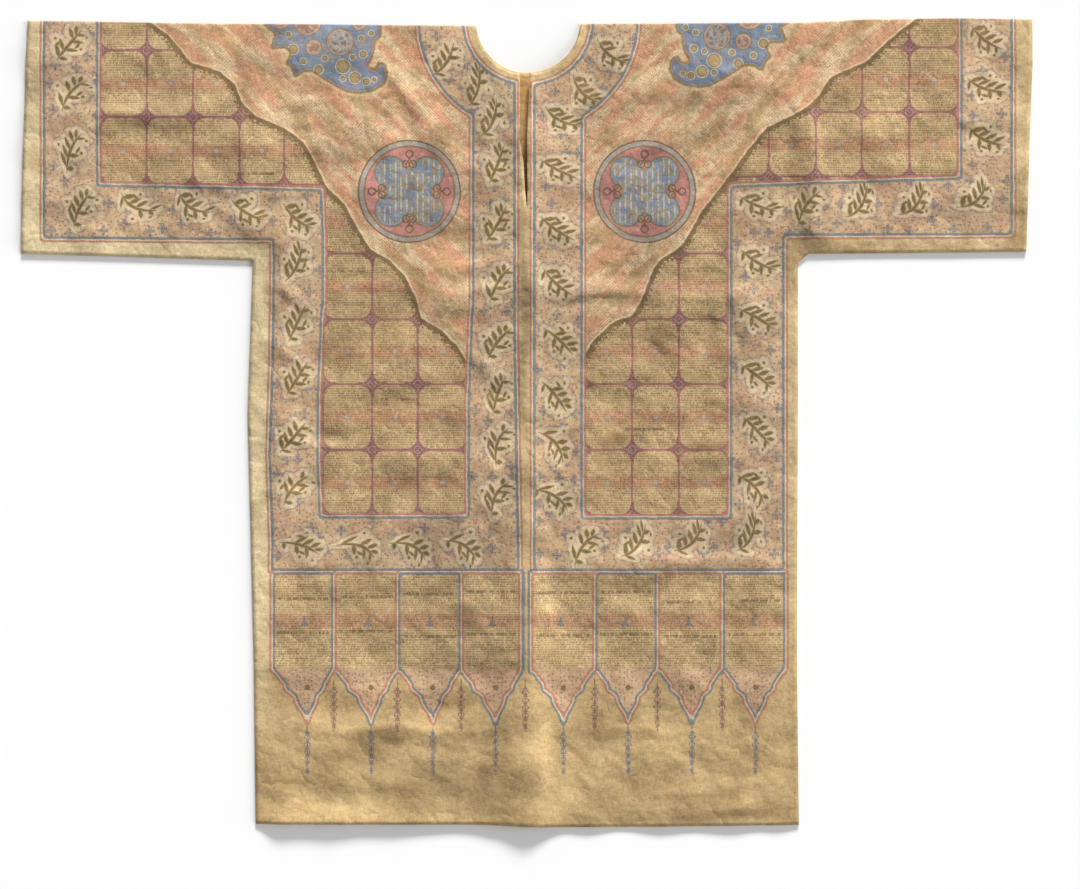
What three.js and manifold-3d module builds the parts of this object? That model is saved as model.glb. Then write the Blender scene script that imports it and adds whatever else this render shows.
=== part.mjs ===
// A talismanic shirt laid flat, face up: two T-shaped panels of starched cotton, each with half
// sleeves grown on. The front turns over the shoulders in a soft fold and meets the back there,
// and the two lie 0.3 mm apart along the shoulders, sleeves and sides. Neck, slit, cuffs and hem
// are open raw edges. The back lies flat, and the front keeps the folds of its storage.
import * as THREE from 'three';
import { mergeVertices } from 'three/addons/utils/BufferGeometryUtils.js';
import Module from 'manifold-3d';

const wasm = await Module();
wasm.setup();

// Driving sizes in millimetres. X runs to the wearer's left cuff, Y from hem to shoulder, Z up.
const CLOTH = 1.2;
const SEAM_GAP = 0.3;
const HALF_SPAN = 500;
const HEM_Y = -400;
const UNDERARM = { x: 270, y: 163 };
const NECK = { x: 1, y: 397.5, radius: 52.5 };
const BACK_NECK_RADIUS = 51.5;

// Cell size of the walls, and the steps of the shoulder fold
const CELL = 18;
const FOLD_STEPS = 5;

// The shoulder fold seen from above, from cuff to cuff: its outermost line
const SHOULDER = [
  { x: -505, y: 397.5 },
  { x: -274, y: 394.5 },
  { x: -52, y: 392.7 },
  { x: 54, y: 394.5 },
  { x: 260, y: 395.5 },
  { x: 350, y: 399 },
  { x: 430, y: 400 },
  { x: 505, y: 399 },
];

// The cut edge of both panels below the shoulders, from the left cuff round the hem to the right
const CUT_EDGE = [
  { place: 'left cuff, top', x: -494, y: 398 },
  { place: 'left cuff, upper part', x: -496, y: 340 },
  { place: 'left cuff, lower part', x: -500, y: 212 },
  { place: 'left cuff, corner', x: -500, y: 167 },
  { place: 'left sleeve, middle', x: -395, y: 164 },
  { place: 'left underarm', x: -271, y: 160 },
  { place: 'left side, waist', x: -276, y: 12 },
  { place: 'left side, skirt', x: -270, y: -230 },
  { place: 'hem, left corner', x: -268, y: -397 },
  { place: 'hem, left half', x: -50, y: -397.5 },
  { place: 'hem, middle', x: 20, y: -400 },
  { place: 'hem, right half', x: 95, y: -400 },
  { place: 'hem, right corner', x: 269, y: -398 },
  { place: 'right side, skirt', x: 267, y: -230 },
  { place: 'right side, waist', x: 268, y: 12 },
  { place: 'right underarm, side', x: 268, y: 158 },
  { place: 'right underarm, sleeve', x: 279, y: 167 },
  { place: 'right sleeve, middle', x: 390, y: 168 },
  { place: 'right cuff, corner', x: 494, y: 169 },
  { place: 'right cuff, lower part', x: 496, y: 245 },
  { place: 'right cuff, upper part', x: 500, y: 356 },
  { place: 'right cuff, top', x: 500, y: 398 },
];

// The slit that runs down from the neck, as its two edges at each height
const SLIT = [
  { y: 352, left: -7.3, right: 2.4 },
  { y: 339, left: -6.9, right: 2.5 },
  { y: 280, left: -7.4, right: 0 },
  { y: 257, left: -3.5, right: 0 },
  { y: 230, left: -2, right: 0.5 },
  { y: 212, left: -0.1, right: 0.1 },
];

// Soft folds of the front. Each runs from (x0, y0) to (x1, y1), is highest on that line and falls
// away to its left and right, looking along it, over the widths in the last two columns.
const FOLDS = [
  { name: 'centre, chest', x0: 0, y0: 20, x1: 1, y1: 480, height: 4.5, left: 78, right: 74 },
  { name: 'centre, waist', x0: 0, y0: -220, x1: 0, y1: 110, height: 2, left: 40, right: 34 },
  { name: 'centre, skirt', x0: -1, y0: -520, x1: 0, y1: -110, height: 4.5, left: 78, right: 50 },
  { name: 'right sleeve', x0: 292, y0: 90, x1: 270, y1: 350, height: 4, left: 18, right: 50 },
  { name: 'left sleeve', x0: -266, y0: 120, x1: -266, y1: 345, height: 3.5, left: 20, right: 48 },
  { name: 'left sleeve, slant', x0: -262, y0: 186, x1: -350, y1: 266, height: 2.5, left: 18, right: 22 },
  { name: 'left sleeve, level', x0: -450, y0: 302, x1: -280, y1: 304, height: 2.5, left: 22, right: 24 },
  { name: 'left chest, inner', x0: -72, y0: 250, x1: -150, y1: 384, height: 2.6, left: 18, right: 24 },
  { name: 'left chest, outer', x0: -120, y0: 236, x1: -200, y1: 360, height: 2.2, left: 18, right: 22 },
  { name: 'left breast, level', x0: -130, y0: 124, x1: 10, y1: 122, height: 2.2, left: 40, right: 38 },
  { name: 'right breast, level', x0: -10, y0: 127, x1: 290, y1: 124, height: 3, left: 18, right: 56 },
  { name: 'left waist', x0: -280, y0: -42, x1: -10, y1: -38, height: 2, left: 30, right: 24 },
  { name: 'left hip', x0: -270, y0: -92, x1: -30, y1: -88, height: 2, left: 20, right: 32 },
  { name: 'right hip', x0: 0, y0: -136, x1: 270, y1: -150, height: 2.4, left: 24, right: 28 },
  { name: 'left skirt, upper', x0: -210, y0: -268, x1: -10, y1: -260, height: 2, left: 18, right: 26 },
  { name: 'left skirt, lower', x0: -280, y0: -302, x1: 0, y1: -298, height: 2.4, left: 20, right: 56 },
  { name: 'left hem, lifted', x0: -330, y0: -392, x1: -20, y1: -424, height: 4, left: 30, right: 30 },
  { name: 'right hem, turned', x0: 60, y0: -380, x1: 290, y1: -370, height: 3, left: 32, right: 22 },
];
// Share of a fold's length over which it rises at each end
const FOLD_END = 0.3;
// Width beside a seam over which the folds die away, and the most that they stand up
const SEAM_CALM = 26;
const FOLD_LIMIT = 5;

const COTTON_FRONT = { color: 0xc9a878, roughness: 0.82, metalness: 0 };
const COTTON_BACK = { color: 0xc8a468, roughness: 0.86, metalness: 0 };

const smooth = (t) => {
  const held = Math.min(Math.max(t, 0), 1);
  return held * held * (3 - 2 * held);
};

// Height of the shoulder line at x, eased between the rows of its table
function shoulderAt(x) {
  const next = SHOULDER.findIndex((row, index) => index > 0 && x <= row.x);
  const right = SHOULDER[next];
  const left = SHOULDER[next - 1];
  return left.y + (right.y - left.y) * smooth((x - left.x) / (right.x - left.x));
}

// One fold's height at (x, y): a raised cosine across it, eased to nothing at both ends
function foldHeight(fold, x, y) {
  const runX = fold.x1 - fold.x0;
  const runY = fold.y1 - fold.y0;
  const length = Math.hypot(runX, runY);
  const along = ((x - fold.x0) * runX + (y - fold.y0) * runY) / (length * length);
  const aside = (runX * (y - fold.y0) - runY * (x - fold.x0)) / length;
  const width = aside > 0 ? fold.left : fold.right;
  const across = Math.min(Math.abs(aside) / width, 1);
  const ends = smooth(along / FOLD_END) * smooth((1 - along) / FOLD_END);
  return fold.height * ends * (0.5 + 0.5 * Math.cos(Math.PI * across));
}

// How far the front stands off the back: all folds together, calm beside the seams
function relief(x, y) {
  const fromSide = Math.max(UNDERARM.x - Math.abs(x), 0);
  const fromSleeve = Math.max(y - UNDERARM.y, 0);
  const fromSeam = Math.hypot(fromSide, fromSleeve);
  const fromShoulder = shoulderAt(x) - y;
  const calm = smooth(fromSeam / SEAM_CALM) * smooth(fromShoulder / SEAM_CALM);
  const raised = FOLDS.reduce((sum, fold) => sum + foldHeight(fold, x, y), 0);
  return Math.min(raised, FOLD_LIMIT) * calm;
}

// Even steps from one value to another, none longer than the cell
function steps(from, to, cell) {
  const count = Math.ceil((to - from) / cell);
  return Array.from({ length: count + 1 }, (_, index) => from + ((to - from) * index) / count);
}

// A closed wall through sections at each x. A section is a list of pairs of points in Y and Z,
// one on the wall's outer side and one on its inner side, from the hem up.
function wallThrough(stations, sectionAt) {
  const sections = stations.map(sectionAt);
  const rows = sections[0].length;
  const positions = [];
  sections.forEach((section, column) => {
    section.forEach(({ outer, inner }) => {
      positions.push(stations[column], outer.y, outer.z);
      positions.push(stations[column], inner.y, inner.z);
    });
  });
  const outerAt = (column, row) => 2 * (column * rows + row);
  const innerAt = (column, row) => outerAt(column, row) + 1;
  const triangles = [];
  const quad = (a, b, c, d) => triangles.push(a, b, c, a, c, d);
  const lastColumn = stations.length - 1;
  const lastRow = rows - 1;
  for (let column = 0; column < lastColumn; column += 1) {
    const next = column + 1;
    for (let row = 0; row < lastRow; row += 1) {
      const up = row + 1;
      quad(outerAt(column, row), outerAt(next, row), outerAt(next, up), outerAt(column, up));
      quad(innerAt(column, row), innerAt(column, up), innerAt(next, up), innerAt(next, row));
    }
    quad(innerAt(column, 0), innerAt(next, 0), outerAt(next, 0), outerAt(column, 0));
    quad(
      outerAt(column, lastRow),
      outerAt(next, lastRow),
      innerAt(next, lastRow),
      innerAt(column, lastRow),
    );
  }
  for (let row = 0; row < lastRow; row += 1) {
    const up = row + 1;
    quad(innerAt(0, row), outerAt(0, row), outerAt(0, up), innerAt(0, up));
    quad(
      outerAt(lastColumn, row),
      innerAt(lastColumn, row),
      innerAt(lastColumn, up),
      outerAt(lastColumn, up),
    );
  }
  const geometry = new THREE.BufferGeometry();
  geometry.setAttribute('position', new THREE.Float32BufferAttribute(positions, 3));
  geometry.setIndex(triangles);
  return geometry;
}

// Radii and middle height of the half circle in which the front turns over the shoulder
const TURN_INNER = SEAM_GAP / 2;
const TURN_OUTER = TURN_INNER + CLOTH;
const TURN_Z = TURN_OUTER;
const FRONT_UNDER_Z = CLOTH + SEAM_GAP;

// Room left past the hem and the cuffs, which the pattern then trims off
const TRIM = 4;

// The front's section: up the panel over its folds, then round the shoulder to the back
function frontSection(x) {
  const foldY = shoulderAt(x) - TURN_OUTER;
  const panel = steps(HEM_Y - TRIM, foldY, CELL).map((y) => {
    const under = FRONT_UNDER_Z + relief(x, y);
    return { outer: { y, z: under + CLOTH }, inner: { y, z: under } };
  });
  const turn = steps(0, Math.PI, Math.PI / FOLD_STEPS).slice(1).map((angle) => ({
    outer: { y: foldY + TURN_OUTER * Math.sin(angle), z: TURN_Z + TURN_OUTER * Math.cos(angle) },
    inner: { y: foldY + TURN_INNER * Math.sin(angle), z: TURN_Z + TURN_INNER * Math.cos(angle) },
  }));
  return panel.concat(turn);
}

// The back's section: flat on the table, its top edge a seam's gap from the front's fold
function backSection(x) {
  const topY = shoulderAt(x) - TURN_OUTER - SEAM_GAP;
  return [HEM_Y - TRIM, topY].map((y) => ({
    outer: { y, z: CLOTH },
    inner: { y, z: 0 },
  }));
}

// A plain upright block of any outline, tall enough to cut through both panels
const CUTTER = { low: -5, height: 40 };
function upright(shape) {
  const options = { depth: CUTTER.height, bevelEnabled: false, curveSegments: 28 };
  return new THREE.ExtrudeGeometry(shape, options).translate(0, 0, CUTTER.low);
}

// The paper pattern: the cut edge, closed above the shoulders so that the fold stays whole
function patternShape() {
  const shape = new THREE.Shape();
  const above = HALF_SPAN;
  shape.moveTo(CUT_EDGE[0].x, above);
  CUT_EDGE.forEach((corner) => shape.lineTo(corner.x, corner.y));
  shape.lineTo(CUT_EDGE.at(-1).x, above);
  shape.closePath();
  return shape;
}

function neckShape(radius) {
  return new THREE.Shape().absarc(NECK.x, NECK.y, radius, 0, 2 * Math.PI, false);
}

function slitShape() {
  const shape = new THREE.Shape();
  const downLeft = SLIT.map((row) => new THREE.Vector2(row.left, row.y));
  const upRight = SLIT.map((row) => new THREE.Vector2(row.right, row.y)).reverse();
  return shape.setFromPoints(downLeft.concat(upRight));
}

// Vertices closer than this are one vertex
const WELD = 1e-4;

function toSolid(geometry) {
  geometry.deleteAttribute('normal');
  geometry.deleteAttribute('uv');
  const merged = mergeVertices(geometry, WELD);
  return new wasm.Manifold(new wasm.Mesh({
    numProp: 3,
    vertProperties: new Float32Array(merged.attributes.position.array),
    triVerts: new Uint32Array(merged.index.array),
  }));
}

function toMesh(solid, name, finish) {
  const { vertProperties, triVerts } = solid.getMesh();
  const geometry = new THREE.BufferGeometry();
  geometry.setAttribute('position', new THREE.BufferAttribute(vertProperties, 3));
  geometry.setIndex(new THREE.BufferAttribute(triVerts, 1));
  geometry.computeVertexNormals();
  const mesh = new THREE.Mesh(geometry, new THREE.MeshStandardMaterial(finish));
  mesh.name = name;
  return mesh;
}

function makeFront(pattern) {
  const stations = steps(-HALF_SPAN - TRIM, HALF_SPAN + TRIM, CELL);
  const wall = toSolid(wallThrough(stations, frontSection));
  const neck = toSolid(upright(neckShape(NECK.radius)));
  const slit = toSolid(upright(slitShape()));
  const cut = wall.intersect(pattern).subtract(neck).subtract(slit);
  return toMesh(cut, 'front', COTTON_FRONT);
}

function makeBack(pattern) {
  const stations = steps(-HALF_SPAN - TRIM, HALF_SPAN + TRIM, CELL);
  const wall = toSolid(wallThrough(stations, backSection));
  const neck = toSolid(upright(neckShape(BACK_NECK_RADIUS)));
  return toMesh(wall.intersect(pattern).subtract(neck), 'back', COTTON_BACK);
}

const pattern = toSolid(upright(patternShape()));
const shirt = new THREE.Group();
shirt.add(makeFront(pattern), makeBack(pattern));

export default shirt;
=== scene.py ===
import math

import bpy
import numpy as np
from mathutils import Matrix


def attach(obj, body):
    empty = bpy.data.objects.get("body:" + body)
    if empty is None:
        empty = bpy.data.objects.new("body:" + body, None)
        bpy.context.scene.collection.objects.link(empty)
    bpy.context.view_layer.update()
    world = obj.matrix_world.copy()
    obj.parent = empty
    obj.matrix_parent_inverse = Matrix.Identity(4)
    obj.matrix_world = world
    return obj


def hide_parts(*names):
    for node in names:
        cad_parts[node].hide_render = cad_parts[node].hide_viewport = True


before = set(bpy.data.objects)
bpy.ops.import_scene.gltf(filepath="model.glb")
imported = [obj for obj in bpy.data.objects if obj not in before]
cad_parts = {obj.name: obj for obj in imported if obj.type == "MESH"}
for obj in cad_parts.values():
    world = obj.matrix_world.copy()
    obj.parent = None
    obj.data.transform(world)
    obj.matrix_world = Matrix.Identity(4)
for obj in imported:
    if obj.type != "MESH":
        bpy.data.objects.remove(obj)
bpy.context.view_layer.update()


# The view. The shirt is seen from straight above, laid flat on a white table, from 3 m up.
# The lens takes in 1.069 m by 0.880 m of the table.
SHOT = {"x": 0.01287, "y": -0.02178, "z": 3.0, "lens": 101.0, "sensor": 36.0}

camera = bpy.data.objects.new("camera", bpy.data.cameras.new("camera"))
bpy.context.scene.collection.objects.link(camera)
camera.location = (SHOT["x"], SHOT["y"], SHOT["z"])
camera.data.lens = SHOT["lens"]
camera.data.sensor_width = SHOT["sensor"]
bpy.context.scene.camera = camera
bpy.context.scene.view_settings.view_transform = "Standard"


# The light. A soft lamp beyond the shoulders and a broader, weaker one at the right, both low
# enough to draw the folds, and a white room that fills the shadows. Elevation is above the table,
# azimuth is from the shirt's right.
LAMPS = {
    "shoulder lamp": {"power": 4.5, "softness": 14, "elevation": 22, "azimuth": 80},
    "side lamp": {"power": 1.75, "softness": 44, "elevation": 24, "azimuth": -5},
}
ROOM_LIGHT = 0.3

for name, place in LAMPS.items():
    lamp = bpy.data.objects.new(name, bpy.data.lights.new(name, "SUN"))
    bpy.context.scene.collection.objects.link(lamp)
    lamp.data.energy = place["power"]
    lamp.data.angle = math.radians(place["softness"])
    lamp.rotation_euler = (0, math.radians(90 - place["elevation"]), math.radians(place["azimuth"]))

room = bpy.data.worlds.new("white room")
bpy.context.scene.world = room
room.use_nodes = True
room.node_tree.nodes["Background"].inputs["Color"].default_value = (1, 1, 1, 1)
room.node_tree.nodes["Background"].inputs["Strength"].default_value = ROOM_LIGHT


# The table. One wide matt white sheet, a hair below the shirt, with a faint tooth to its surface.
# The functions that make meshes, materials and shader nodes stand here, where they are first used.
TABLE = {"half": 12.0, "z": -0.0002, "white": (0.93, 0.93, 0.93, 1), "gloss": 0.1}


def mesh_object(name, points, quads, smooth_faces):
    """One mesh from points and faces of four corners; smooth_faces says which faces are smooth."""
    mesh = bpy.data.meshes.new(name)
    mesh.vertices.add(len(points))
    mesh.vertices.foreach_set("co", np.asarray(points, np.float32).ravel())
    mesh.loops.add(4 * len(quads))
    mesh.loops.foreach_set("vertex_index", np.asarray(quads, np.int32).ravel())
    mesh.polygons.add(len(quads))
    mesh.polygons.foreach_set("loop_start", np.arange(0, 4 * len(quads), 4, dtype=np.int32))
    mesh.update(calc_edges=True)
    mesh.polygons.foreach_set("use_smooth", np.broadcast_to(smooth_faces, len(quads)).copy())
    made = bpy.data.objects.new(name, mesh)
    bpy.context.scene.collection.objects.link(made)
    return made


class Field:
    """A value at each point of a surface: one socket of a node tree. Arithmetic adds Math nodes."""

    def __init__(self, socket):
        self.socket = socket

    def node(self, kind, values, output=0, **settings):
        return shader_node(self.socket.id_data, kind, values, output, **settings)

    def math(self, operation, *others):
        return self.node("ShaderNodeMath", (self, *others), operation=operation)

    def vector(self, operation, *others, output=0):
        return self.node("ShaderNodeVectorMath", (self, *others), output, operation=operation)

    def __add__(self, other):
        return self.math("ADD", other)

    def __sub__(self, other):
        return self.math("SUBTRACT", other)

    def __mul__(self, other):
        return self.math("MULTIPLY", other)

    def __truediv__(self, other):
        return self.math("DIVIDE", other)

    def __rsub__(self, number):
        return shader_node(self.socket.id_data, "ShaderNodeMath", (number, self), operation="SUBTRACT")

    def __rtruediv__(self, number):
        return shader_node(self.socket.id_data, "ShaderNodeMath", (number, self), operation="DIVIDE")

    def __abs__(self):
        return self.math("ABSOLUTE")

    def least(self, other):
        return self.math("MINIMUM", other)

    def most(self, other):
        return self.math("MAXIMUM", other)

    def length(self):
        return self.vector("LENGTH", output="Value")

    def fraction(self):
        return self.math("FRACT")

    def ramp(self, at_none, at_full, low=0.0, high=1.0):
        """Low where the field is at_none, high where it is at_full, straight between, held outside."""
        return self.node("ShaderNodeMapRange", (self, at_none, at_full, low, high))

    def above_zero(self, blur=0.3):
        """1 where the field is above 0 and 0 where it is below, blurred by so much each way."""
        return self.ramp(-blur, blur)

    def below_zero(self, blur=0.3):
        return self.ramp(blur, -blur)

    def split(self):
        """The X, Y and Z of a vector."""
        whole = self.node("ShaderNodeSeparateXYZ", (self,)).socket.node
        return [Field(socket) for socket in whole.outputs]

    def noise(self, scale, detail=2.0, rough=0.5, output=0):
        settings = {"Vector": self, "Scale": scale, "Detail": detail, "Roughness": rough}
        return self.node("ShaderNodeTexNoise", settings, output)

    def over(self, paint, mask):
        """This colour with a paint, a field or a name in PAINT, laid over it where the mask is 1."""
        if isinstance(paint, str):
            paint = (*PAINT[paint], 1)
        return self.node("ShaderNodeMix", {0: mask, 6: self, 7: paint}, 2, data_type="RGBA")

    def times(self, shade):
        """This colour made darker or lighter, or this vector made shorter or longer, by a number."""
        return self.node("ShaderNodeVectorMath", {0: self, 3: shade}, operation="SCALE")

    def kept(self, name, output="Fac"):
        """A value that add_places kept on the mesh, read in the tree that this field is in."""
        return self.node("ShaderNodeAttribute", (), output, attribute_name=name)

    def other(self, output):
        """Another output of the node that this field comes from."""
        return Field(self.socket.node.outputs[output])


def shader_node(tree, kind, values=(), output=0, **settings):
    """Adds a node, sets its properties and then its inputs. Gives one of its outputs as a Field."""
    made = tree.nodes.new(kind)
    for name, value in settings.items():
        setattr(made, name, value)
    pairs = values.items() if isinstance(values, dict) else enumerate(values)
    for name, value in pairs:
        if isinstance(value, Field):
            tree.links.new(value.socket, made.inputs[name])
        else:
            made.inputs[name].default_value = value
    return Field(made.outputs[output])


def new_material(name):
    """A material with an empty Principled BSDF. Gives the material, its tree and that shader."""
    material = bpy.data.materials.new(name)
    material.use_nodes = True
    return material, material.node_tree, material.node_tree.nodes["Principled BSDF"]


def plug(tree, shader, **inputs):
    """Links fields into a shader's sockets. An underscore in a name stands for a space."""
    for name, value in inputs.items():
        tree.links.new(value.socket, shader.inputs[name.replace("_", " ")])


half = TABLE["half"]
corners = [(-half, -half), (half, -half), (half, half), (-half, half)]
table = mesh_object("table", [(x, y, TABLE["z"]) for x, y in corners], [(0, 1, 2, 3)], False)
white, tree, shader = new_material("matt white table")
place = shader_node(tree, "ShaderNodeTexCoord", output="Object")
plug(tree, shader, Roughness=place.noise(40, 3).ramp(0, 1, 0.85, 0.95))
shader.inputs["Base Color"].default_value = TABLE["white"]
shader.inputs["Specular IOR Level"].default_value = TABLE["gloss"]
table.data.materials.append(white)


# The cut of both panels. Each is one T-shaped length of starched cotton with its half sleeves
# grown on, cut along these lines and left raw at the neck, the slit, the cuffs and the hem.
# All sizes of the cloth are in millimetres, X to the wearer's left cuff, Y up to the shoulders.
MM = 0.001
CELL = 3.9
CUFF = 500
ROWS = {"hem": -398, "underarm": 160, "shoulder": 394}
UNDERARM = {"x": 270, "y": 163}
NECK = {"x": 1.0, "y": 397.5, "front": 52.5, "back": 51.5}
BODY = {"left": -271.0, "right": 268.0}
SHOULDER = [(-505, 397.5), (-274, 394.5), (-52, 392.7), (54, 394.5), (260, 395.5), (350, 399),
            (430, 400), (505, 399)]
HEM = [(-268, -397), (-50, -397.5), (20, -400), (95, -400), (269, -398)]
SLEEVE_EDGE = [(-500, 167), (-395, 164), (-271, 160), (268, 158), (279, 167), (390, 168),
               (494, 169), (500, 169)]
LEFT_CUFF = [(167, -500), (212, -500), (340, -496), (398, -494)]
RIGHT_CUFF = [(169, 494), (245, 496), (356, 500), (398, 500)]
LEFT_SIDE = [(-397, -268), (-230, -270), (12, -276), (160, -271)]
RIGHT_SIDE = [(-398, 269), (-230, 267), (12, 268), (158, 268)]
SLIT_LEFT = [(212, 0), (230, -2), (257, -3.5), (280, -7.4), (339, -6.9), (352, -7.3)]
SLIT_RIGHT = [(212, 0), (230, 0.5), (257, 0), (280, 0), (339, 2.5), (352, 2.4)]
SLIT_PULL = 40.0
SLIT_FOOT = 212.0
TURN = {"outer": 1.35, "inner": 0.35, "steps": 6}
SEAM_GAP = 0.3
CLOTH = 1.0


def smooth(t):
    """0 below 0, 1 above 1, and an S between them: 3 t squared less 2 t cubed."""
    held = np.clip(t, 0, 1)
    return held * held * (3 - 2 * held)


def between(table, at):
    """The value at a place in a table of (place, value), in straight steps."""
    places, values = np.array(table, float).T
    return np.interp(at, places, values)


def shoulder_at(x):
    """The shoulder line at x, eased by an S between the rows of its table."""
    places, values = np.array(SHOULDER, float).T
    row = np.clip(np.searchsorted(places, x) - 1, 0, len(places) - 2)
    share = smooth((x - places[row]) / (places[row + 1] - places[row]))
    return values[row] + (values[row + 1] - values[row]) * share


def even(start, end, cell):
    """Even steps from start to end, none longer than a cell."""
    return np.linspace(start, end, math.ceil(abs(end - start) / cell) + 1)


def grid_faces(vertex):
    """The faces of four corners between the columns and rows of a table of vertices."""
    return np.stack([vertex[:-1, :-1], vertex[1:, :-1], vertex[1:, 1:], vertex[:-1, 1:]], axis=-1)


def panel_grid(radius, top_gap, cell, has_slit):
    """The points of a panel as columns and rows.

    A sleeve column keeps its share of the way from cuff to body at each height, and a body column
    its share of the way from side to side. Across the neck the columns lie at even angles of its
    circle, and their tops follow it. Rows run at even shares of the height below and above the
    underarm. The slit's two edges are the middle column twice, drawn apart, with the columns near
    it drawn along. Gives x, y, the faces, and which of the columns are the neck's.
    """
    angles = []
    for side in (-1, 1):
        rise = NECK["y"] - shoulder_at(np.array([NECK["x"] + side * radius]))[0] + top_gap
        angles.append(side * math.acos(rise / radius))
    arc = np.linspace(*angles, math.ceil(math.pi * radius / cell) + 1)
    neck_x = NECK["x"] + radius * np.sin(arc)
    left_sleeve = even(-CUFF, BODY["left"], cell)[:-1]
    right_sleeve = even(BODY["right"], CUFF, cell)[1:]
    left_body = even(BODY["left"], neck_x[0], cell)[:-1]
    right_body = even(neck_x[-1], BODY["right"], cell)[1:]
    column_x = np.concatenate([left_sleeve, left_body, neck_x, right_body, right_sleeve])
    first_neck = len(left_sleeve) + len(left_body)
    middle = first_neck + int(np.argmin(np.abs(neck_x)))
    inside = np.zeros(len(column_x), bool)
    inside[first_neck + 1:first_neck + len(neck_x) - 1] = True
    top = shoulder_at(column_x) - top_gap
    across = np.clip((column_x[inside] - NECK["x"]) / radius, -1, 1)
    top[inside] = NECK["y"] - radius * np.sqrt(1 - across**2)
    if has_slit:
        column_x = np.insert(column_x, middle, column_x[middle])
        inside = np.insert(inside, middle, True)
        top = np.insert(top, middle, top[middle])
    sleeve = (column_x < BODY["left"] - 0.01) | (column_x > BODY["right"] + 0.01)

    under = between(SLEEVE_EDGE, column_x)
    hem = between(HEM, column_x)
    lower = even(ROWS["hem"], ROWS["underarm"], cell)
    lower = (lower[:-1] - lower[0]) / (lower[-1] - lower[0])
    upper = even(ROWS["underarm"], ROWS["shoulder"], cell)
    upper = (upper - upper[0]) / (upper[-1] - upper[0])
    y = np.concatenate([hem[:, None] + (under - hem)[:, None] * lower,
                        under[:, None] + (top - under)[:, None] * upper], axis=1)

    share = ((column_x - BODY["left"]) / (BODY["right"] - BODY["left"]))[:, None]
    x = between(LEFT_SIDE, y) * (1 - share) + between(RIGHT_SIDE, y) * share
    left_share = ((column_x + CUFF) / (BODY["left"] + CUFF))[:, None]
    x_left = between(LEFT_CUFF, y) * (1 - left_share) + BODY["left"] * left_share
    right_share = ((column_x - BODY["right"]) / (CUFF - BODY["right"]))[:, None]
    x_right = BODY["right"] * (1 - right_share) + between(RIGHT_CUFF, y) * right_share
    x = np.where(share < 0, x_left, np.where(share > 1, x_right, x))

    columns, rows = x.shape
    vertex = np.arange(columns * rows).reshape(columns, rows)
    pull = np.clip(1 - np.abs(x - x[middle]) / SLIT_PULL, 0, 1)
    if has_slit:
        on_left = (np.arange(columns) <= middle)[:, None]
        edge = np.where(on_left, between(SLIT_LEFT, y), between(SLIT_RIGHT, y))
        x = x + (edge - x[middle]) * pull
        shut = y[middle] <= SLIT_FOOT
        vertex[middle + 1, shut] = vertex[middle, shut]
    else:
        x = x - x[middle] * pull

    exists = np.ones((columns, rows), bool)
    exists[sleeve, :len(lower)] = False
    quads = grid_faces(vertex)
    kept = exists[:-1, :-1] & exists[1:, :-1] & exists[1:, 1:] & exists[:-1, 1:]
    if has_slit:
        kept[middle] = False
    return x, y, quads[kept], inside


def closed_shell(top, bottom, quads):
    """The faces of a thin closed wall: top faces, bottom faces turned over, and a rim between them.

    A side of a top face that no other face shares is an edge of the cloth, and gets a rim face.
    """
    count = len(top)
    sides = np.concatenate([quads[:, [0, 1]], quads[:, [1, 2]], quads[:, [2, 3]], quads[:, [3, 0]]])
    forward = sides[:, 0].astype(np.int64) * count + sides[:, 1]
    backward = sides[:, 1].astype(np.int64) * count + sides[:, 0]
    a, b = sides[~np.isin(forward, backward)].T
    rim = np.stack([b, a, a + count, b + count], axis=1)
    faces = np.concatenate([quads, quads[:, ::-1] + count, rim])
    is_smooth = np.arange(len(faces)) < 2 * len(quads)
    points = np.concatenate([top, bottom])
    used, compact = np.unique(faces, return_inverse=True)
    return points[used], compact.reshape(faces.shape), is_smooth, used


def on_both(values, used):
    """Values at the points of a wall's top, given to those of its bottom too."""
    return np.concatenate([values, values])[used]


# The folds. The shirt was kept folded, and its starched cloth holds the creases. Each runs from
# (x0, y0) to (x1, y1), is highest on that line, and falls away over the widths to its left and
# right, looking along it. These are the broad ones, as the solids have them.
FOLD = [(name, float) for name in ("x0", "y0", "x1", "y1", "height", "left", "right")]
BROAD_FOLDS = np.array([
    (0, 20, 1, 480, 4.5, 78, 74),
    (0, -220, 0, 110, 2, 40, 34),
    (-1, -520, 0, -110, 4.5, 78, 50),
    (292, 90, 270, 350, 4, 18, 50),
    (-266, 120, -266, 345, 3.5, 20, 48),
    (-262, 186, -350, 266, 2.5, 18, 22),
    (-450, 302, -280, 304, 2.5, 22, 24),
    (-72, 250, -150, 384, 2.6, 18, 24),
    (-120, 236, -200, 360, 2.2, 18, 22),
    (-130, 124, 10, 122, 2.2, 40, 38),
    (-10, 127, 290, 124, 3, 18, 56),
    (-280, -42, -10, -38, 2, 30, 24),
    (-270, -92, -30, -88, 2, 20, 32),
    (0, -136, 270, -150, 2.4, 24, 28),
    (-210, -268, -10, -260, 2, 18, 26),
    (-280, -302, 0, -298, 2.4, 20, 56),
    (-330, -392, -20, -424, 4, 30, 30),
    (60, -380, 290, -370, 3, 32, 22),
], FOLD)

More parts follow.
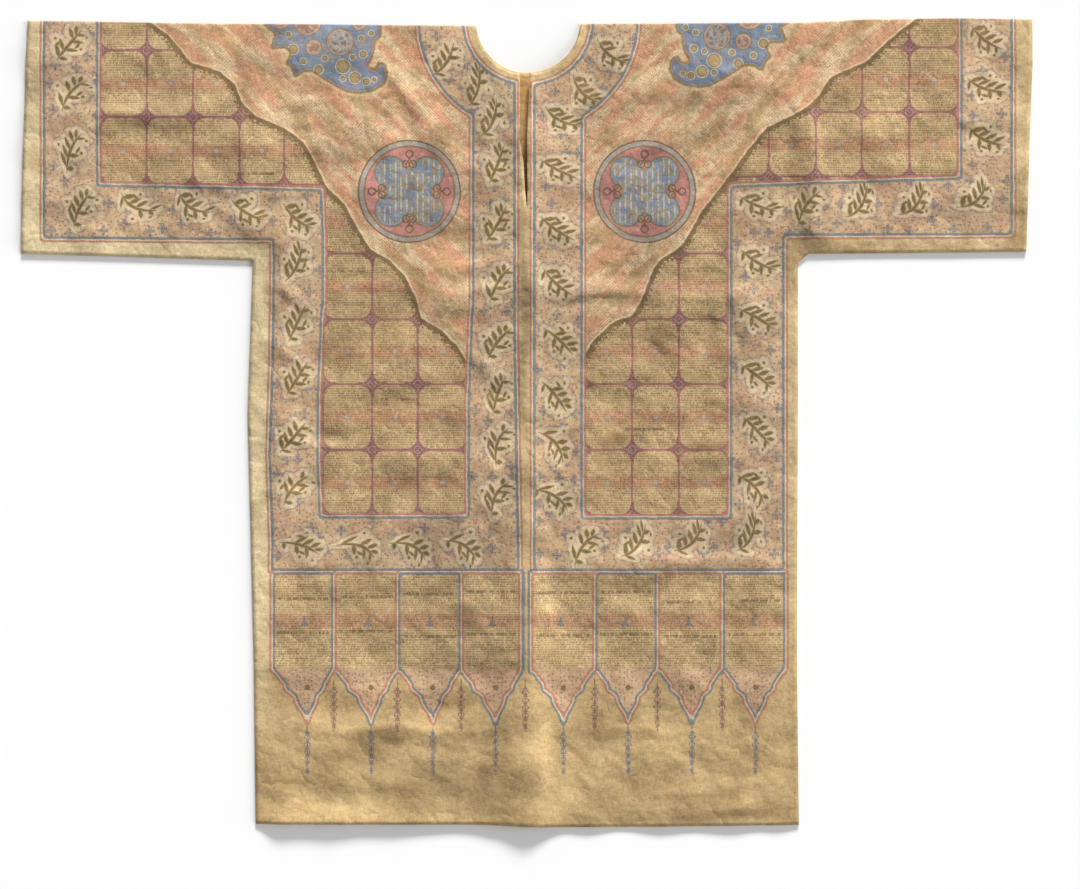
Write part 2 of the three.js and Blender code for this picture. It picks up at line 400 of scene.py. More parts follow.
# The creases between them, sharp and shallow. A negative height is a trough.
CREASES = np.array([
    (4, 10, 4, 240, 1.3, 10, 15), (-3, 200, -3, 350, 0.9, 9, 12), (4, -170, 4, 60, 1.0, 9, 14),
    (3, -460, 3, -80, 2.7, 32, 26), (-6, -20, -6, 215, -0.9, 8, 8), (-44, -420, -30, -180, -0.9, 22, 20),
    (-250, -200, -214, -236, 0.5, 7, 8), (-170, -176, -142, -206, 0.6, 7, 7),
    (-108, -206, -78, -240, -0.6, 7, 7), (-72, -246, -40, -278, 0.6, 8, 8),
    (-150, -260, -116, -294, 0.5, 8, 8), (-30, -236, -6, -262, 0.6, 7, 7),
    (-190, -340, -158, -378, 0.5, 9, 9), (-96, -340, -60, -376, -0.5, 9, 9),
    (-246, -326, -214, -350, 0.5, 8, 8), (24, -236, 52, -268, 0.6, 7, 8), (10, -186, 30, -216, 0.7, 6, 7),
    (86, -222, 118, -256, -0.5, 8, 8), (150, -236, 186, -270, 0.5, 8, 8),
    (206, -196, 240, -226, 0.5, 8, 8), (170, -330, 204, -366, 0.6, 7, 7),
    (30, -330, 62, -372, -0.6, 8, 8), (6, -318, 20, -384, 0.7, 7, 8), (-86, 224, -40, 188, 0.7, 7, 8),
    (-110, 214, -70, 176, -0.6, 8, 8), (-126, 262, -96, 226, 0.6, 7, 8), (-70, 300, -40, 262, -0.6, 7, 8),
    (-220, 206, -196, 172, 0.6, 7, 7), (46, 230, 84, 196, -0.6, 8, 8), (60, 176, 98, 150, 0.6, 7, 8),
    (212, 300, 246, 268, 0.6, 8, 8), (300, 292, 340, 262, -0.5, 8, 8), (-404, 262, -366, 232, 0.5, 8, 8),
    (-476, 270, -440, 244, -0.5, 8, 8), (380, 350, 420, 322, 0.5, 8, 8), (288, 160, 276, 340, 1.7, 7, 15),
    (262, 170, 254, 330, -0.6, 10, 9), (306, 165, 300, 250, 0.7, 9, 12),
    (-280, 172, -281, 330, 1.2, 10, 12), (-262, 168, -262, 300, -0.6, 9, 9),
    (-330, 240, -280, 212, -1.1, 8, 8), (-326, 228, -276, 198, 0.9, 7, 9),
    (-352, 270, -312, 246, 0.7, 7, 7), (-356, 258, -306, 224, 0.6, 6, 7),
    (-320, 205, -288, 172, 0.8, 8, 8), (-425, 297, -368, 288, -0.9, 9, 12),
    (-436, 309, -360, 302, 0.6, 9, 8), (-478, 330, -430, 300, 0.5, 9, 9),
    (-470, 210, -404, 188, 0.6, 9, 10), (-400, 372, -352, 340, 0.6, 8, 9),
    (-352, 352, -320, 316, -0.5, 7, 8), (-300, 384, -262, 330, 0.7, 10, 9),
    (-248, 316, -196, 324, 0.8, 6, 7), (-240, 305, -190, 315, -0.5, 5, 6),
    (-232, 298, -186, 304, 0.5, 5, 6), (-150, 366, -96, 300, 1.1, 8, 10),
    (-168, 342, -130, 272, -0.9, 9, 8), (-190, 336, -160, 262, 0.9, 8, 9),
    (-208, 320, -186, 250, -0.7, 8, 8), (-122, 352, -92, 320, -0.7, 6, 6),
    (-100, 300, -66, 256, 0.7, 8, 7), (-182, 250, -166, 206, -0.6, 9, 8),
    (-60, 340, -48, 240, -0.7, 10, 12), (-196, 232, -150, 170, 0.6, 8, 9),
    (-162, 176, -108, 118, 0.7, 7, 9), (-112, 160, -16, 156, 0.9, 8, 8),
    (-118, 147, -22, 141, -0.8, 7, 7), (-100, 131, -14, 127, 0.8, 7, 9),
    (-104, 112, -30, 92, -0.9, 12, 14), (-196, 152, -132, 150, 0.5, 6, 6),
    (-200, 138, -130, 134, 0.6, 6, 7), (-205, 116, -150, 112, -0.5, 6, 6),
    (-252, 130, -206, 96, -1.0, 7, 8), (-262, 142, -212, 118, 0.8, 8, 7), (-276, 92, -214, 60, 0.9, 9, 9),
    (-272, 74, -224, 48, -0.8, 8, 9), (-276, 52, -206, 44, 0.6, 8, 8), (-132, 108, -112, 60, 0.5, 8, 8),
    (-112, 84, -70, 66, 0.5, 5, 5), (-112, 70, -72, 52, -0.5, 5, 5), (-66, 76, -20, 42, 0.8, 8, 10),
    (-60, 50, -22, 18, -0.7, 9, 9), (-276, -14, -150, -24, 1.0, 7, 8), (-276, -4, -160, -12, -0.7, 7, 7),
    (-210, 10, -190, -20, -0.5, 8, 8), (-276, -70, -130, -74, 0.8, 6, 8),
    (-276, -60, -190, -62, -0.5, 7, 6), (-100, -44, -84, -94, 0.9, 8, 8),
    (-112, -58, -96, -100, -0.6, 8, 8), (-92, -30, -58, -62, 0.8, 9, 9), (-58, -24, -22, -58, 0.9, 9, 8),
    (-64, -68, -18, -120, -0.8, 10, 10), (-92, -104, -44, -150, 0.8, 9, 10),
    (-140, -108, -96, -146, 0.6, 8, 9), (-30, -120, -8, -190, -0.8, 10, 8),
    (-200, -112, -150, -136, 0.5, 8, 8), (12, -14, 40, -60, 0.9, 7, 8), (18, -40, 52, -92, -0.8, 7, 7),
    (26, -56, 62, -104, 0.8, 6, 7), (8, -70, 34, -112, -0.6, 6, 6), (40, -20, 56, -60, -0.5, 8, 8),
    (4, 121, 150, 118, -1.2, 6, 7), (6, 110, 120, 104, 0.8, 8, 8), (120, 132, 210, 116, 0.8, 8, 8),
    (138, 112, 196, 92, -0.8, 9, 9), (190, 128, 212, 70, -1.2, 7, 7), (178, 122, 198, 66, 0.9, 8, 7),
    (132, 100, 184, 62, 0.7, 7, 8), (104, 92, 156, 52, -0.6, 7, 7), (204, 96, 262, 72, 0.6, 8, 8),
    (62, 46, 146, 38, -0.8, 6, 7), (66, 34, 130, 26, 0.6, 7, 8), (150, 26, 206, 20, 0.5, 7, 7),
    (60, -24, 212, -25, -0.6, 6, 7), (144, -32, 206, -36, 0.6, 8, 8), (150, -58, 232, -64, -0.7, 7, 9),
    (86, 258, 146, 284, 1.1, 7, 8), (84, 244, 142, 266, -0.8, 6, 7), (96, 226, 150, 240, 0.7, 7, 7),
    (166, 372, 214, 330, 0.6, 8, 8), (150, 356, 196, 316, -0.6, 8, 8), (40, 366, 84, 346, 0.5, 8, 8),
    (36, 300, 70, 250, 0.5, 9, 9), (180, 348, 262, 336, 0.7, 9, 8), (236, 312, 262, 260, -0.6, 8, 8),
    (420, 302, 456, 290, 1.0, 6, 7), (424, 292, 452, 280, -0.7, 5, 6), (350, 262, 420, 250, 0.5, 8, 8),
    (318, 350, 380, 336, 0.5, 8, 8), (440, 360, 492, 320, 0.6, 10, 10), (330, 210, 356, 178, -0.5, 8, 8),
    (96, -128, 262, -138, 1.1, 7, 8), (100, -142, 250, -153, -0.8, 7, 8),
    (10, -132, 96, -130, -0.6, 7, 7), (-250, -150, -168, -144, -0.8, 7, 6),
    (-128, -178, -64, -222, 0.9, 6, 7), (-120, -196, -66, -236, -0.7, 6, 6),
    (-176, -214, -136, -234, -0.6, 8, 8), (-60, -190, -12, -232, 0.8, 7, 8),
    (6, -170, 44, -230, 0.8, 7, 7), (20, -160, 52, -206, -0.5, 6, 6),
    (-232, -186, -200, -202, -0.5, 10, 10), (70, -176, 128, -198, 0.4, 9, 9),
    (140, -168, 196, -186, 0.4, 9, 9), (-246, -302, -2, -303, 1.2, 7, 9),
    (-200, -316, -20, -322, -0.7, 9, 12), (60, -304, 146, -306, 0.9, 7, 8),
    (80, -318, 140, -346, 0.6, 6, 8), (112, -312, 178, -352, 0.6, 6, 7),
    (140, -316, 206, -360, -0.5, 6, 6), (160, -306, 232, -352, 0.6, 6, 7),
    (190, -300, 256, -336, 0.5, 6, 7), (60, -340, 120, -372, -0.5, 7, 8), (30, -300, 70, -340, 0.5, 8, 8),
    (-262, -372, -130, -388, 0.9, 8, 12), (-262, -356, -120, -372, -0.9, 9, 9),
    (104, -374, 262, -366, -0.9, 8, 9), (110, -388, 262, -382, 0.8, 8, 8),
    (-200, -330, -150, -352, 0.4, 9, 9), (-120, -326, -64, -360, 0.5, 9, 9),
    (-262, -250, -226, -262, -0.6, 9, 9),
], FOLD)
FOLD_END = 0.3
SEAM_CALM = 26.0
BROAD = {"gain": 1.15, "limit": 5.4}
CREASE_GAIN = 1.35
CREASE_CALM = {"seam": 9, "shoulder": 14}
# Broad swells between the creases, and the sway that keeps a crease from being a ruled line
SWELL = {"height": 1.9, "base": 0.6, "calm": 34.0}
SWAY = 3.2
FRONT_UNDER = 1.8
LOWEST_UNDER = 1.35


def heights(rows, x, y):
    """The sum of a table's folds at each point.

    A fold's height is its own height, times an S that rises over the first and falls over the last
    30 % of its length, times half of one plus the cosine of pi times the share of its width.
    """
    total = np.zeros_like(x)
    for row in rows:
        run_x = row["x1"] - row["x0"]
        run_y = row["y1"] - row["y0"]
        length = math.hypot(run_x, run_y)
        along = ((x - row["x0"]) * run_x + (y - row["y0"]) * run_y) / length**2
        aside = (run_x * (y - row["y0"]) - run_y * (x - row["x0"])) / length
        width = np.where(aside > 0, row["left"], row["right"])
        across = np.minimum(np.abs(aside) / width, 1)
        ends = smooth(along / FOLD_END) * smooth((1 - along) / FOLD_END)
        total += row["height"] * ends * (0.5 + 0.5 * np.cos(np.pi * across))
    return total


def swells(x, y):
    """Low broad swells: four crossing waves of 60 to 130 mm, each bent by the next."""
    first = np.sin(x / 17 + 1.3 * np.sin(y / 31))
    second = np.sin(y / 14 + 1.1 * np.sin(x / 27 + 1))
    third = np.sin((x + y) / 21 + np.sin(x / 40))
    fourth = np.sin((x - 1.6 * y) / 19 + np.sin(y / 35 + 2))
    return (first * second + third * fourth) / 2


def off_seams(x, y):
    """The distance to the side seam, to the seam under the sleeve, or to the corner of the two."""
    from_side = np.maximum(UNDERARM["x"] - np.abs(x), 0)
    from_sleeve = np.maximum(y - UNDERARM["y"], 0)
    return np.hypot(from_side, from_sleeve)


def relief(x, y):
    """How far the front stands off its lowest place: folds, creases and swells, calm at seams."""
    from_seam = off_seams(x, y)
    from_shoulder = shoulder_at(x) - y
    calm = smooth(from_seam / SEAM_CALM) * smooth(from_shoulder / SEAM_CALM)
    sway_x = x + SWAY * np.sin(y / 23 + np.sin(x / 51))
    sway_y = y + SWAY * np.sin(x / 19 + np.sin(y / 43))
    broad = np.minimum(BROAD["gain"] * heights(BROAD_FOLDS, x, y), BROAD["limit"]) * calm
    less = smooth(from_seam / CREASE_CALM["seam"]) * smooth(from_shoulder / CREASE_CALM["shoulder"])
    fine = CREASE_GAIN * heights(CREASES, sway_x, sway_y) * less
    gentle = smooth(from_seam / SWELL["calm"]) * smooth(from_shoulder / SWELL["calm"])
    return broad + fine + SWELL["height"] * (SWELL["base"] + swells(x, y)) * gentle, fine


# The places of the painting, in millimetres on the flat cloth. Frames of three thin lines border
# a band with a spray of leaves every hand's breadth. Inside it lie a yoke, a grid and the skirt.
# Lines that leave the cloth over the shoulders are carried on to the height of ABOVE.
RING = 62.4
YOKE_RING = 110.0
ABOVE = 480


def arc_about_neck(radius, start, end):
    """Points on a circle about the middle of the neck, from one angle to another in degrees."""
    angles = np.radians(np.linspace(start, end, 25))
    return [(NECK["x"] + radius * math.cos(a), NECK["y"] + radius * math.sin(a)) for a in angles]


OUTER_LEFT = [(-479.2, ABOVE), (-479.2, 181.2), (-252.5, 179.2), (-252, 156), (-253.4, 60),
              (-256.4, -30), (-253.4, -116), (-254, -147.5), (-6.4, -147.5), (-10.4, 80),
              (-10.4, 200), *arc_about_neck(RING, -100.5, -180), (-61.4, ABOVE)]
OUTER_RIGHT = [(481.1, ABOVE), (481.1, 184.6), (255.4, 183.6), (255.4, -147.5), (5.4, -147.5),
               (5.4, 330), *arc_about_neck(RING, -86, 0), (63.4, ABOVE)]
INNER_LEFT = [(-423.2, ABOVE), (-423.2, 236.1), (-202, 231.2), (-200, 180), (-200, 120),
              (-202, 101), (-205, 22), (-205, -37), (-203, -92.1), (-59.4, -92.1), (-59.4, 22),
              (-56.4, 101), (-55, 120), *arc_about_neck(YOKE_RING, -120.6, -180), (-109, ABOVE)]
INNER_RIGHT = [(427.7, ABOVE), (427.7, 243), (200, 235.1), (200, -93.1), (55.9, -93),
               *arc_about_neck(YOKE_RING, -60.1, 0), (111, ABOVE)]
YOKE_LEFT = [(-375, 396), (-355, 382), (-333, 355), (-304, 346), (-290, 334), (-283, 316),
             (-269, 302), (-242, 291), (-222, 277), (-210, 255), (-199, 232), (-181, 215),
             (-168, 191), (-156, 171), (-136, 159), (-122, 145), (-111, 123), (-105, 102),
             (-86, 91), (-70, 75), (-57, 55)]
YOKE_RIGHT = [(388, 401), (357, 376), (336, 356), (301, 341), (288, 320), (275, 309),
              (238, 291), (222, 272), (211, 257), (195, 235), (174, 209), (158, 180),
              (150, 171), (132, 160), (125, 149), (114, 120), (105, 105), (87, 99), (67, 81),
              (55, 62)]
CRESTED = [(-259, 394), (-247, 385), (-252, 371), (-237, 372), (-232, 365), (-237, 355),
           (-232, 353), (-229, 343), (-222, 348), (-212, 349), (-202, 342), (-190, 335),
           (-177, 328), (-165, 327), (-153, 329), (-143, 335), (-139, 344), (-141, 353),
           (-146, 355), (-148, 349), (-153, 347), (-158, 351), (-160, 354), (-155, 359),
           (-152, 369), (-152, 378), (-146, 382), (-146, 394)]
# The right shoulder's shape is the left one's mirrored, set a little out and up
CREST_SHIFT = (3.0, 6.0)
CRESTED_RIGHT = [(CREST_SHIFT[0] - x, y + CREST_SHIFT[1]) for x, y in CRESTED]
# The grids' lines, left of each cell and below it
GRIDS = {
    "left sleeve": ([-422, -376, -330, -284, -240, -197], [235, 302, 368, 433]),
    "left body": ([-202, -153, -108, -58], [-92, -27, 38, 102, 167, 230]),
    "right body": ([56, 104, 150, 200], [-92, -27, 38, 102, 167, 230]),
    "right sleeve": ([197, 239, 285, 331, 378, 427], [243, 307, 371, 435]),
}
# A face farther out and higher than this belongs to a sleeve's grid
SLEEVE_GRID = {"x": 199, "y": 231}
# The leaf sprays, run by run: how far each run's sprays are turned, and where they lie
SPRAYS = [
    ("left cuff", 48, [(-454, 374), (-452, 327), (-452, 270), (-443, 213)]),
    ("left sleeve", -38, [(-387, 213), (-332, 213), (-277, 208), (-228, 202)]),
    ("left side", 48, [(-228, 156), (-228, 99), (-228, 44), (-232, -15), (-232, -64)]),
    ("left foot", -38, [(-222, -121), (-165, -121), (-113, -121), (-61, -121)]),
    ("left centre", 52, [(-80, 357), (-49, 331), (-34, 299), (-30, 255), (-30, 196), (-30, 138),
                         (-30, 80), (-30, 28), (-30, -20), (-32, -72)]),
    ("right centre", -50, [(82, 364), (55, 327), (33, 299), (31, 250), (29, 191), (29, 138),
                           (33, 82), (29, 27), (29, -20), (28, -72)]),
    ("right foot", 42, [(55, -121), (109, -121), (163, -118), (221, -113)]),
    ("right side", -44, [(228, 215), (228, 159), (228, 104), (228, 47), (228, -7), (225, -62)]),
    ("right sleeve", 40, [(275, 215), (330, 215), (384, 215), (444, 220)]),
    ("right cuff", -40, [(453, 379), (453, 331), (453, 280)]),
]
# A number from 0 to 1 that is each spray's own: the first one's, and the step to the next
SPRAY_NUMBER = {"step": 0.618, "first": 0.29}
# The skirt's panels: their edges and tips, where pendants hang between them, and their heights
PANELS = {
    "edges": [-252, -191, -128, -65, -6, 3.6, 67, 129, 193, 256],
    "tips": [-217, -154, -93, -31, None, 36, 100, 163, 226],
    "hung": [-191, -128, -65, -1.5, 67, 129, 193],
    "top": -147.5, "spring": -246,
}
MIDDLE_GAP = 4
FAR_OFF = 9999.0
# Half of a panel's cusped foot: how far out from its middle, and how high
CUSP = [(0, -297), (3, -288), (7.5, -281), (10, -276), (10.5, -271), (15, -267), (19, -264),
        (19.5, -259), (24, -253), (28.5, -246)]


# Soft patches of painted shade and painted light, most of them along folds, where the cloth
# slopes away from the lamps or towards them, with some soiling and paleness from handling:
# x, y, how far it reaches to the side and up, and how much darker or lighter it is
PATCH = [(name, float) for name in ("x", "y", "side", "up", "shade")]
SHADE_AND_SOIL_PATCHES = np.array([
    (-86, -129, 56, 26, -0.22), (-66, -90, 50, 18, -0.1), (-86, -195, 60, 46, -0.13),
    (-58, -245, 44, 16, -0.14), (-12, -268, 17, 62, -0.16), (-13, -374, 16, 22, -0.2),
    (2, -143, 11, 60, -0.13), (-3, 130, 12, 62, -0.17), (-3, 60, 11, 30, -0.12),
    (52, 121, 46, 14, -0.17), (-304, 214, 24, 36, -0.15), (-469, 359, 20, 19, -0.15),
    (-416, 316, 18, 16, -0.1), (287, 214, 12, 28, -0.18), (369, 362, 88, 10, -0.1),
    (184, 369, 18, 24, -0.14), (165, 313, 24, 18, -0.12), (452, 227, 16, 14, -0.12),
    (204, -116, 46, 12, -0.14), (158, -261, 78, 14, -0.13), (151, -294, 35, 14, -0.08),
    (-251, 88, 16, 14, -0.13), (-211, 161, 12, 22, -0.1), (-165, 200, 16, 16, -0.08),
    (46, -37, 12, 16, -0.1), (201, 62, 12, 30, -0.11), (118, 62, 16, 16, -0.08),
    (99, -189, 26, 14, -0.08), (-73, 194, 40, 12, -0.09), (-192, 352, 16, 14, -0.06),
    (145, 220, 46, 16, -0.09), (237, -374, 25, 18, -0.09), (268, -130, 12, 260, -0.1),
    (-170, -300, 30, 12, -0.06), (-140, -360, 30, 16, -0.06), (-420, 220, 30, 20, -0.05),
    (6, 322, 9, 58, 0.16), (15, 253, 12, 46, 0.13), (-132, 319, 16, 34, 0.12),
    (415, 326, 50, 30, 0.12), (323, 187, 20, 14, 0.15), (365, 276, 80, 60, 0.07),
    (-264, 260, 16, 30, 0.1), (-311, 280, 16, 16, 0.1), (-231, -123, 16, 30, 0.12),
    (25, -242, 15, 24, 0.12), (28, -310, 20, 60, 0.09), (-225, -391, 100, 12, 0.17),
    (-93, -393, 60, 8, 0.1), (92, 2, 46, 30, 0.05), (-159, -215, 16, 16, 0.08),
    (186, -215, 60, 18, 0.07), (-136, 220, 16, 14, 0.08), (-40, 161, 16, 14, 0.07),
    (-340, 370, 60, 20, 0.05), (-232, -20, 14, 30, 0.07), (60, 360, 30, 26, 0.06),
    (-230, 300, 14, 22, 0.06), (-70, 372, 22, 14, 0.05), (340, 320, 80, 50, 0.05),
    (-60, -372, 70, 26, -0.08), (40, -376, 26, 26, 0.06), (-250, -352, 40, 34, 0.05),
    (-160, 300, 60, 60, 0.05), (120, 180, 40, 40, -0.05), (150, 310, 60, 40, -0.045),
    (374, 317, 50, 60, 0.035), (131, -121, 90, 20, -0.045), (264, 12, 9, 110, -0.05),
    (-180, -195, 50, 40, 0.03), (280, 350, 60, 40, 0.04),
], PATCH)
PATCH_DEPTH = 1.3


def patch_shade(x, y):
    """1, plus each patch's shade times e to the power of minus its squared share of its reach."""
    total = np.ones_like(x)
    for patch in SHADE_AND_SOIL_PATCHES:
        squared = ((x - patch["x"]) / patch["side"])**2 + ((y - patch["y"]) / patch["up"])**2
        total += PATCH_DEPTH * patch["shade"] * np.exp(-squared)
    return total


def signed_distance(x, y, line, closing=()):
    """The distance to a line of points, above 0 inside the outline that it makes.

    The distance is the least of those to its straight pieces. A point is inside where a level ray
    from it crosses the outline an odd number of times. Closing points complete the outline only.
    """
    corners = np.array(line if closing else [*line, line[0]], float)
    nearest = np.full(x.shape, np.inf)
    for (x0, y0), (x1, y1) in zip(corners[:-1], corners[1:]):
        run_x, run_y = x1 - x0, y1 - y0
        squared = max(run_x**2 + run_y**2, 1e-9)
        share = np.clip(((x - x0) * run_x + (y - y0) * run_y) / squared, 0, 1)
        nearest = np.minimum(nearest, np.hypot(x - x0 - share * run_x, y - y0 - share * run_y))
    outline = np.array([*line, *closing, line[0]], float)
    inside = np.zeros(x.shape, bool)
    for (x0, y0), (x1, y1) in zip(outline[:-1], outline[1:]):
        if y0 == y1:
            continue
        crosses = (y0 > y) != (y1 > y)
        inside ^= crosses & (x < x0 + (y - y0) * (x1 - x0) / (y1 - y0))
    return np.where(inside, nearest, -nearest)


def sided_distance(x, y, left, right, left_closing=(), right_closing=()):
    """The signed distance to one line on the left of the shirt, and to another on its right."""
    return np.where(x < 0, signed_distance(x, y, left, left_closing),
                    signed_distance(x, y, right, right_closing))


def cell_places(x, y, face_x, face_y):
    """Where each face corner lies in its cell of a grid: -1 to 1 across it and up it."""
    across = np.zeros_like(x)
    up = np.zeros_like(x)
    for name, (columns, rows) in GRIDS.items():
        in_grid = (face_x < 0) == name.startswith("left")
        on_sleeve = (np.abs(face_x) > SLEEVE_GRID["x"]) & (face_y > SLEEVE_GRID["y"])
        in_grid &= on_sleeve == name.endswith("sleeve")
        for values, places, faces in ((across, x, face_x), (up, y, face_y)):
            lines = np.array(columns if values is across else rows, float)
            index = np.clip(np.searchsorted(lines, faces) - 1, 0, len(lines) - 2)
            middle = (lines[index] + lines[index + 1]) / 2
            reach = (lines[index + 1] - lines[index]) / 2
            values[in_grid] = ((places - middle) / reach)[in_grid]
    return np.stack([across, up, np.zeros_like(x)], axis=-1)


def spray_places(x, y, face_x, face_y):
    """Where each face corner lies by its nearest spray, turned with it, and that spray's own number."""
    places = [(turn, *place) for name, turn, run in SPRAYS for place in run]
    turns, middles_x, middles_y = np.array(places, float).T
    reach = np.hypot(face_x[:, None] - middles_x, face_y[:, None] - middles_y)
    index = np.argmin(reach, axis=1)
    turn = np.radians(turns[index])
    dx = x - middles_x[index]
    dy = y - middles_y[index]
    along = dx * np.cos(turn) + dy * np.sin(turn)
    aside = dy * np.cos(turn) - dx * np.sin(turn)
    number = (index * SPRAY_NUMBER["step"] + SPRAY_NUMBER["first"]) % 1.0
    return np.stack([along, aside, number], axis=-1)


def panel_places(x, face_x):
    """How far each face corner lies to the side of its skirt panel's tip and of the nearest pendant
    between two panels, and 0 or 1 in turn from the middle of the shirt outwards."""
    edges = np.array(PANELS["edges"], float)
    tips = np.array([FAR_OFF if tip is None else tip for tip in PANELS["tips"]], float)
    hung = np.array(PANELS["hung"], float)
    index = np.clip(np.searchsorted(edges, face_x) - 1, 0, len(edges) - 2)
    border = np.argmin(np.abs(face_x[:, None] - hung), axis=1)
    turn = (np.abs(index - MIDDLE_GAP) - 1) % 2
    turn[index == MIDDLE_GAP] = 0
    return np.stack([x - tips[index], x - hung[border], turn], axis=-1)


def panel_distance(x, y, face_x):
    """The distance of each face corner to the outline of its own skirt panel, above 0 inside."""
    edges = PANELS["edges"]
    index = np.clip(np.searchsorted(edges, face_x) - 1, 0, len(edges) - 2)
    distance = np.full(x.shape, -np.inf)
    for panel, tip in enumerate(PANELS["tips"]):
        if tip is None:
            continue
        left, right = edges[panel], edges[panel + 1]
        middle = (left + right) / 2
        reach = (right - left) / 2
        foot = [(middle + (tip - middle) * (1 - out / reach) + out, high) for out, high in CUSP]
        other = [(middle + (tip - middle) * (1 - out / reach) - out, high) for out, high in CUSP]
        outline = [(left, PANELS["top"]), (left, PANELS["spring"]), *other[::-1], *foot[1:],
                   (right, PANELS["spring"]), (right, PANELS["top"])]
        # The gap at the middle of the shirt has no panel, and takes the nearer of its neighbours
        own = (index == panel) | ((index == MIDDLE_GAP) & (abs(panel - MIDDLE_GAP) == 1))
        distance[own] = np.maximum(distance[own], signed_distance(x[own], y[own], outline))
    return distance


def add_places(piece, pattern, painted, extras):
    """Keeps the painting's places on a panel's mesh: values at its points, and at its face corners."""
    mesh = piece.data
    x, y = pattern.T
    point_values = {
        "outer_line": sided_distance(x, y, OUTER_LEFT, OUTER_RIGHT),
        "inner_line": sided_distance(x, y, INNER_LEFT, INNER_RIGHT),
        # Soft patches of painted shade and painted light, with some soiling
        "patches": patch_shade(x, y),
        "painted": painted,
        "pattern": np.column_stack([x, y, np.zeros_like(x)]),
        **extras,
    }
    vertex = np.zeros(len(mesh.loops), np.int32)
    mesh.loops.foreach_get("vertex_index", vertex)
    corner_x, corner_y = x[vertex], y[vertex]
    face_x = np.repeat(corner_x.reshape(-1, 4).mean(axis=1), 4)
    face_y = np.repeat(corner_y.reshape(-1, 4).mean(axis=1), 4)
    corner_values = {
        "cell": cell_places(corner_x, corner_y, face_x, face_y),
        "spray": spray_places(corner_x, corner_y, face_x, face_y),
        "panel": panel_places(corner_x, face_x),
        "panel_line": panel_distance(corner_x, corner_y, face_x),
    }
    for domain, table in (("POINT", point_values), ("CORNER", corner_values)):
        for name, values in table.items():
            kind, label = ("FLOAT", "value") if values.ndim == 1 else ("FLOAT_VECTOR", "vector")
            made = mesh.attributes.new(name, kind, domain)
            made.data.foreach_set(label, values.astype(np.float32).ravel())


# The front. It covers the whole of the back, and at the shoulders it turns under in a soft fold
# to meet the back's edge. Its round neck and the slit below it are cut through it alone.
SEAM_SINK = {"depth": 0.35, "reach": 12}
x, y, quads, in_neck = panel_grid(NECK["front"], TURN["outer"], CELL, True)
raised, fine = relief(x, y)
seam_sink = SEAM_SINK["depth"] * (1 - smooth(off_seams(x, y) / SEAM_SINK["reach"]))
under = np.maximum(FRONT_UNDER - seam_sink + raised, LOWEST_UNDER)

# Round the shoulder each column goes on as a half circle, but for the columns across the neck
angle = np.linspace(0, math.pi, TURN["steps"] + 1)[1:]
fold_x, fold_y = x[:, -1:], y[:, -1:]
columns, rows = x.shape
panel_count = columns * rows
turn_vertex = panel_count + np.arange(columns * TURN["steps"]).reshape(columns, TURN["steps"])
edge_vertex = np.arange(panel_count).reshape(columns, rows)[:, -1:]
turn_quads = grid_faces(np.concatenate([edge_vertex, turn_vertex], axis=1))
turn_quads = turn_quads[~(in_neck[:-1] | in_neck[1:])]


def whole_face(height, radius):
    """One face of the front's wall: the panel at a height, and its turn round the shoulders."""
    panel = np.stack([x, y, height], axis=-1).reshape(-1, 3)
    turn_z = TURN["outer"] + radius * np.cos(angle)
    turn = np.broadcast_arrays(fold_x, fold_y + radius * np.sin(angle), turn_z)
    return np.concatenate([panel, np.stack(turn, axis=-1).reshape(-1, 3)])


top = whole_face(under + CLOTH, TURN["outer"])
bottom = whole_face(under, TURN["inner"])
faces = np.concatenate([quads, turn_quads.reshape(-1, 4)])
pattern_y = np.concatenate([y.ravel(), (fold_y + TURN["outer"] * angle).ravel()])
pattern = np.column_stack([top[:, 0], pattern_y])
# The fine creases' heights, kept to paint light on their ridges and shade in their troughs
crease_heights = np.concatenate([fine.ravel(), np.zeros(turn_vertex.size)])
points, faces, is_smooth, used = closed_shell(top, bottom, faces)
front = mesh_object("front_panel", points * MM, faces, is_smooth)
pattern = on_both(pattern, used)
is_top = (used < len(top)).astype(float)
px, py = pattern.T
yoke = sided_distance(px, py, YOKE_LEFT, YOKE_RIGHT, [(0, 30), (0, ABOVE), (-375, ABOVE)],
                      [(0, 30), (0, ABOVE), (388, ABOVE)])
crested = np.maximum(signed_distance(px, py, CRESTED, [(-146, ABOVE), (-259, ABOVE)]),
                     signed_distance(px, py, CRESTED_RIGHT, [(149, ABOVE), (262, ABOVE)]))
add_places(front, pattern, is_top, {
    "yoke_line": yoke,
    "crested_line": crested,
    "crease": on_both(crease_heights, used),
})
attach(front, "root")
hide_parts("front")


# The back. It lies flat on the table under the front, of the same cut, with the neck but no slit.
# Its painted face is down; its plain inner face shows a little at the neck and the slit.
BACK_SHELL = 1.05
BACK_CELL = 5.2
BACK_TROUGH = 0.25
x, y, quads, _ = panel_grid(NECK["back"], TURN["outer"] + SEAM_GAP, BACK_CELL, False)
# Its underside lifts off the table in shallow troughs, but not along the sides and the hem
hollow = BACK_TROUGH * smooth((np.abs(swells(x * 0.7, y * 0.8)) - 0.12) / 0.5)
from_side = (UNDERARM["x"] - np.abs(x)) / 40 + np.maximum(y - UNDERARM["y"], 0) / 60
hollow *= smooth(from_side) * smooth((y + 395) / 20)
top = np.stack([x, y, np.full_like(x, BACK_SHELL)], axis=-1).reshape(-1, 3)
bottom = np.stack([x, y, hollow], axis=-1).reshape(-1, 3)
points, faces, is_smooth, used = closed_shell(top, bottom, quads)
back = mesh_object("back_panel", points * MM, faces, is_smooth)
pattern = on_both(top[:, :2], used)
add_places(back, pattern, (used >= len(top)).astype(float), {
    "crease": on_both(hollow.ravel(), used),
})
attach(back, "root")
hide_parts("back")
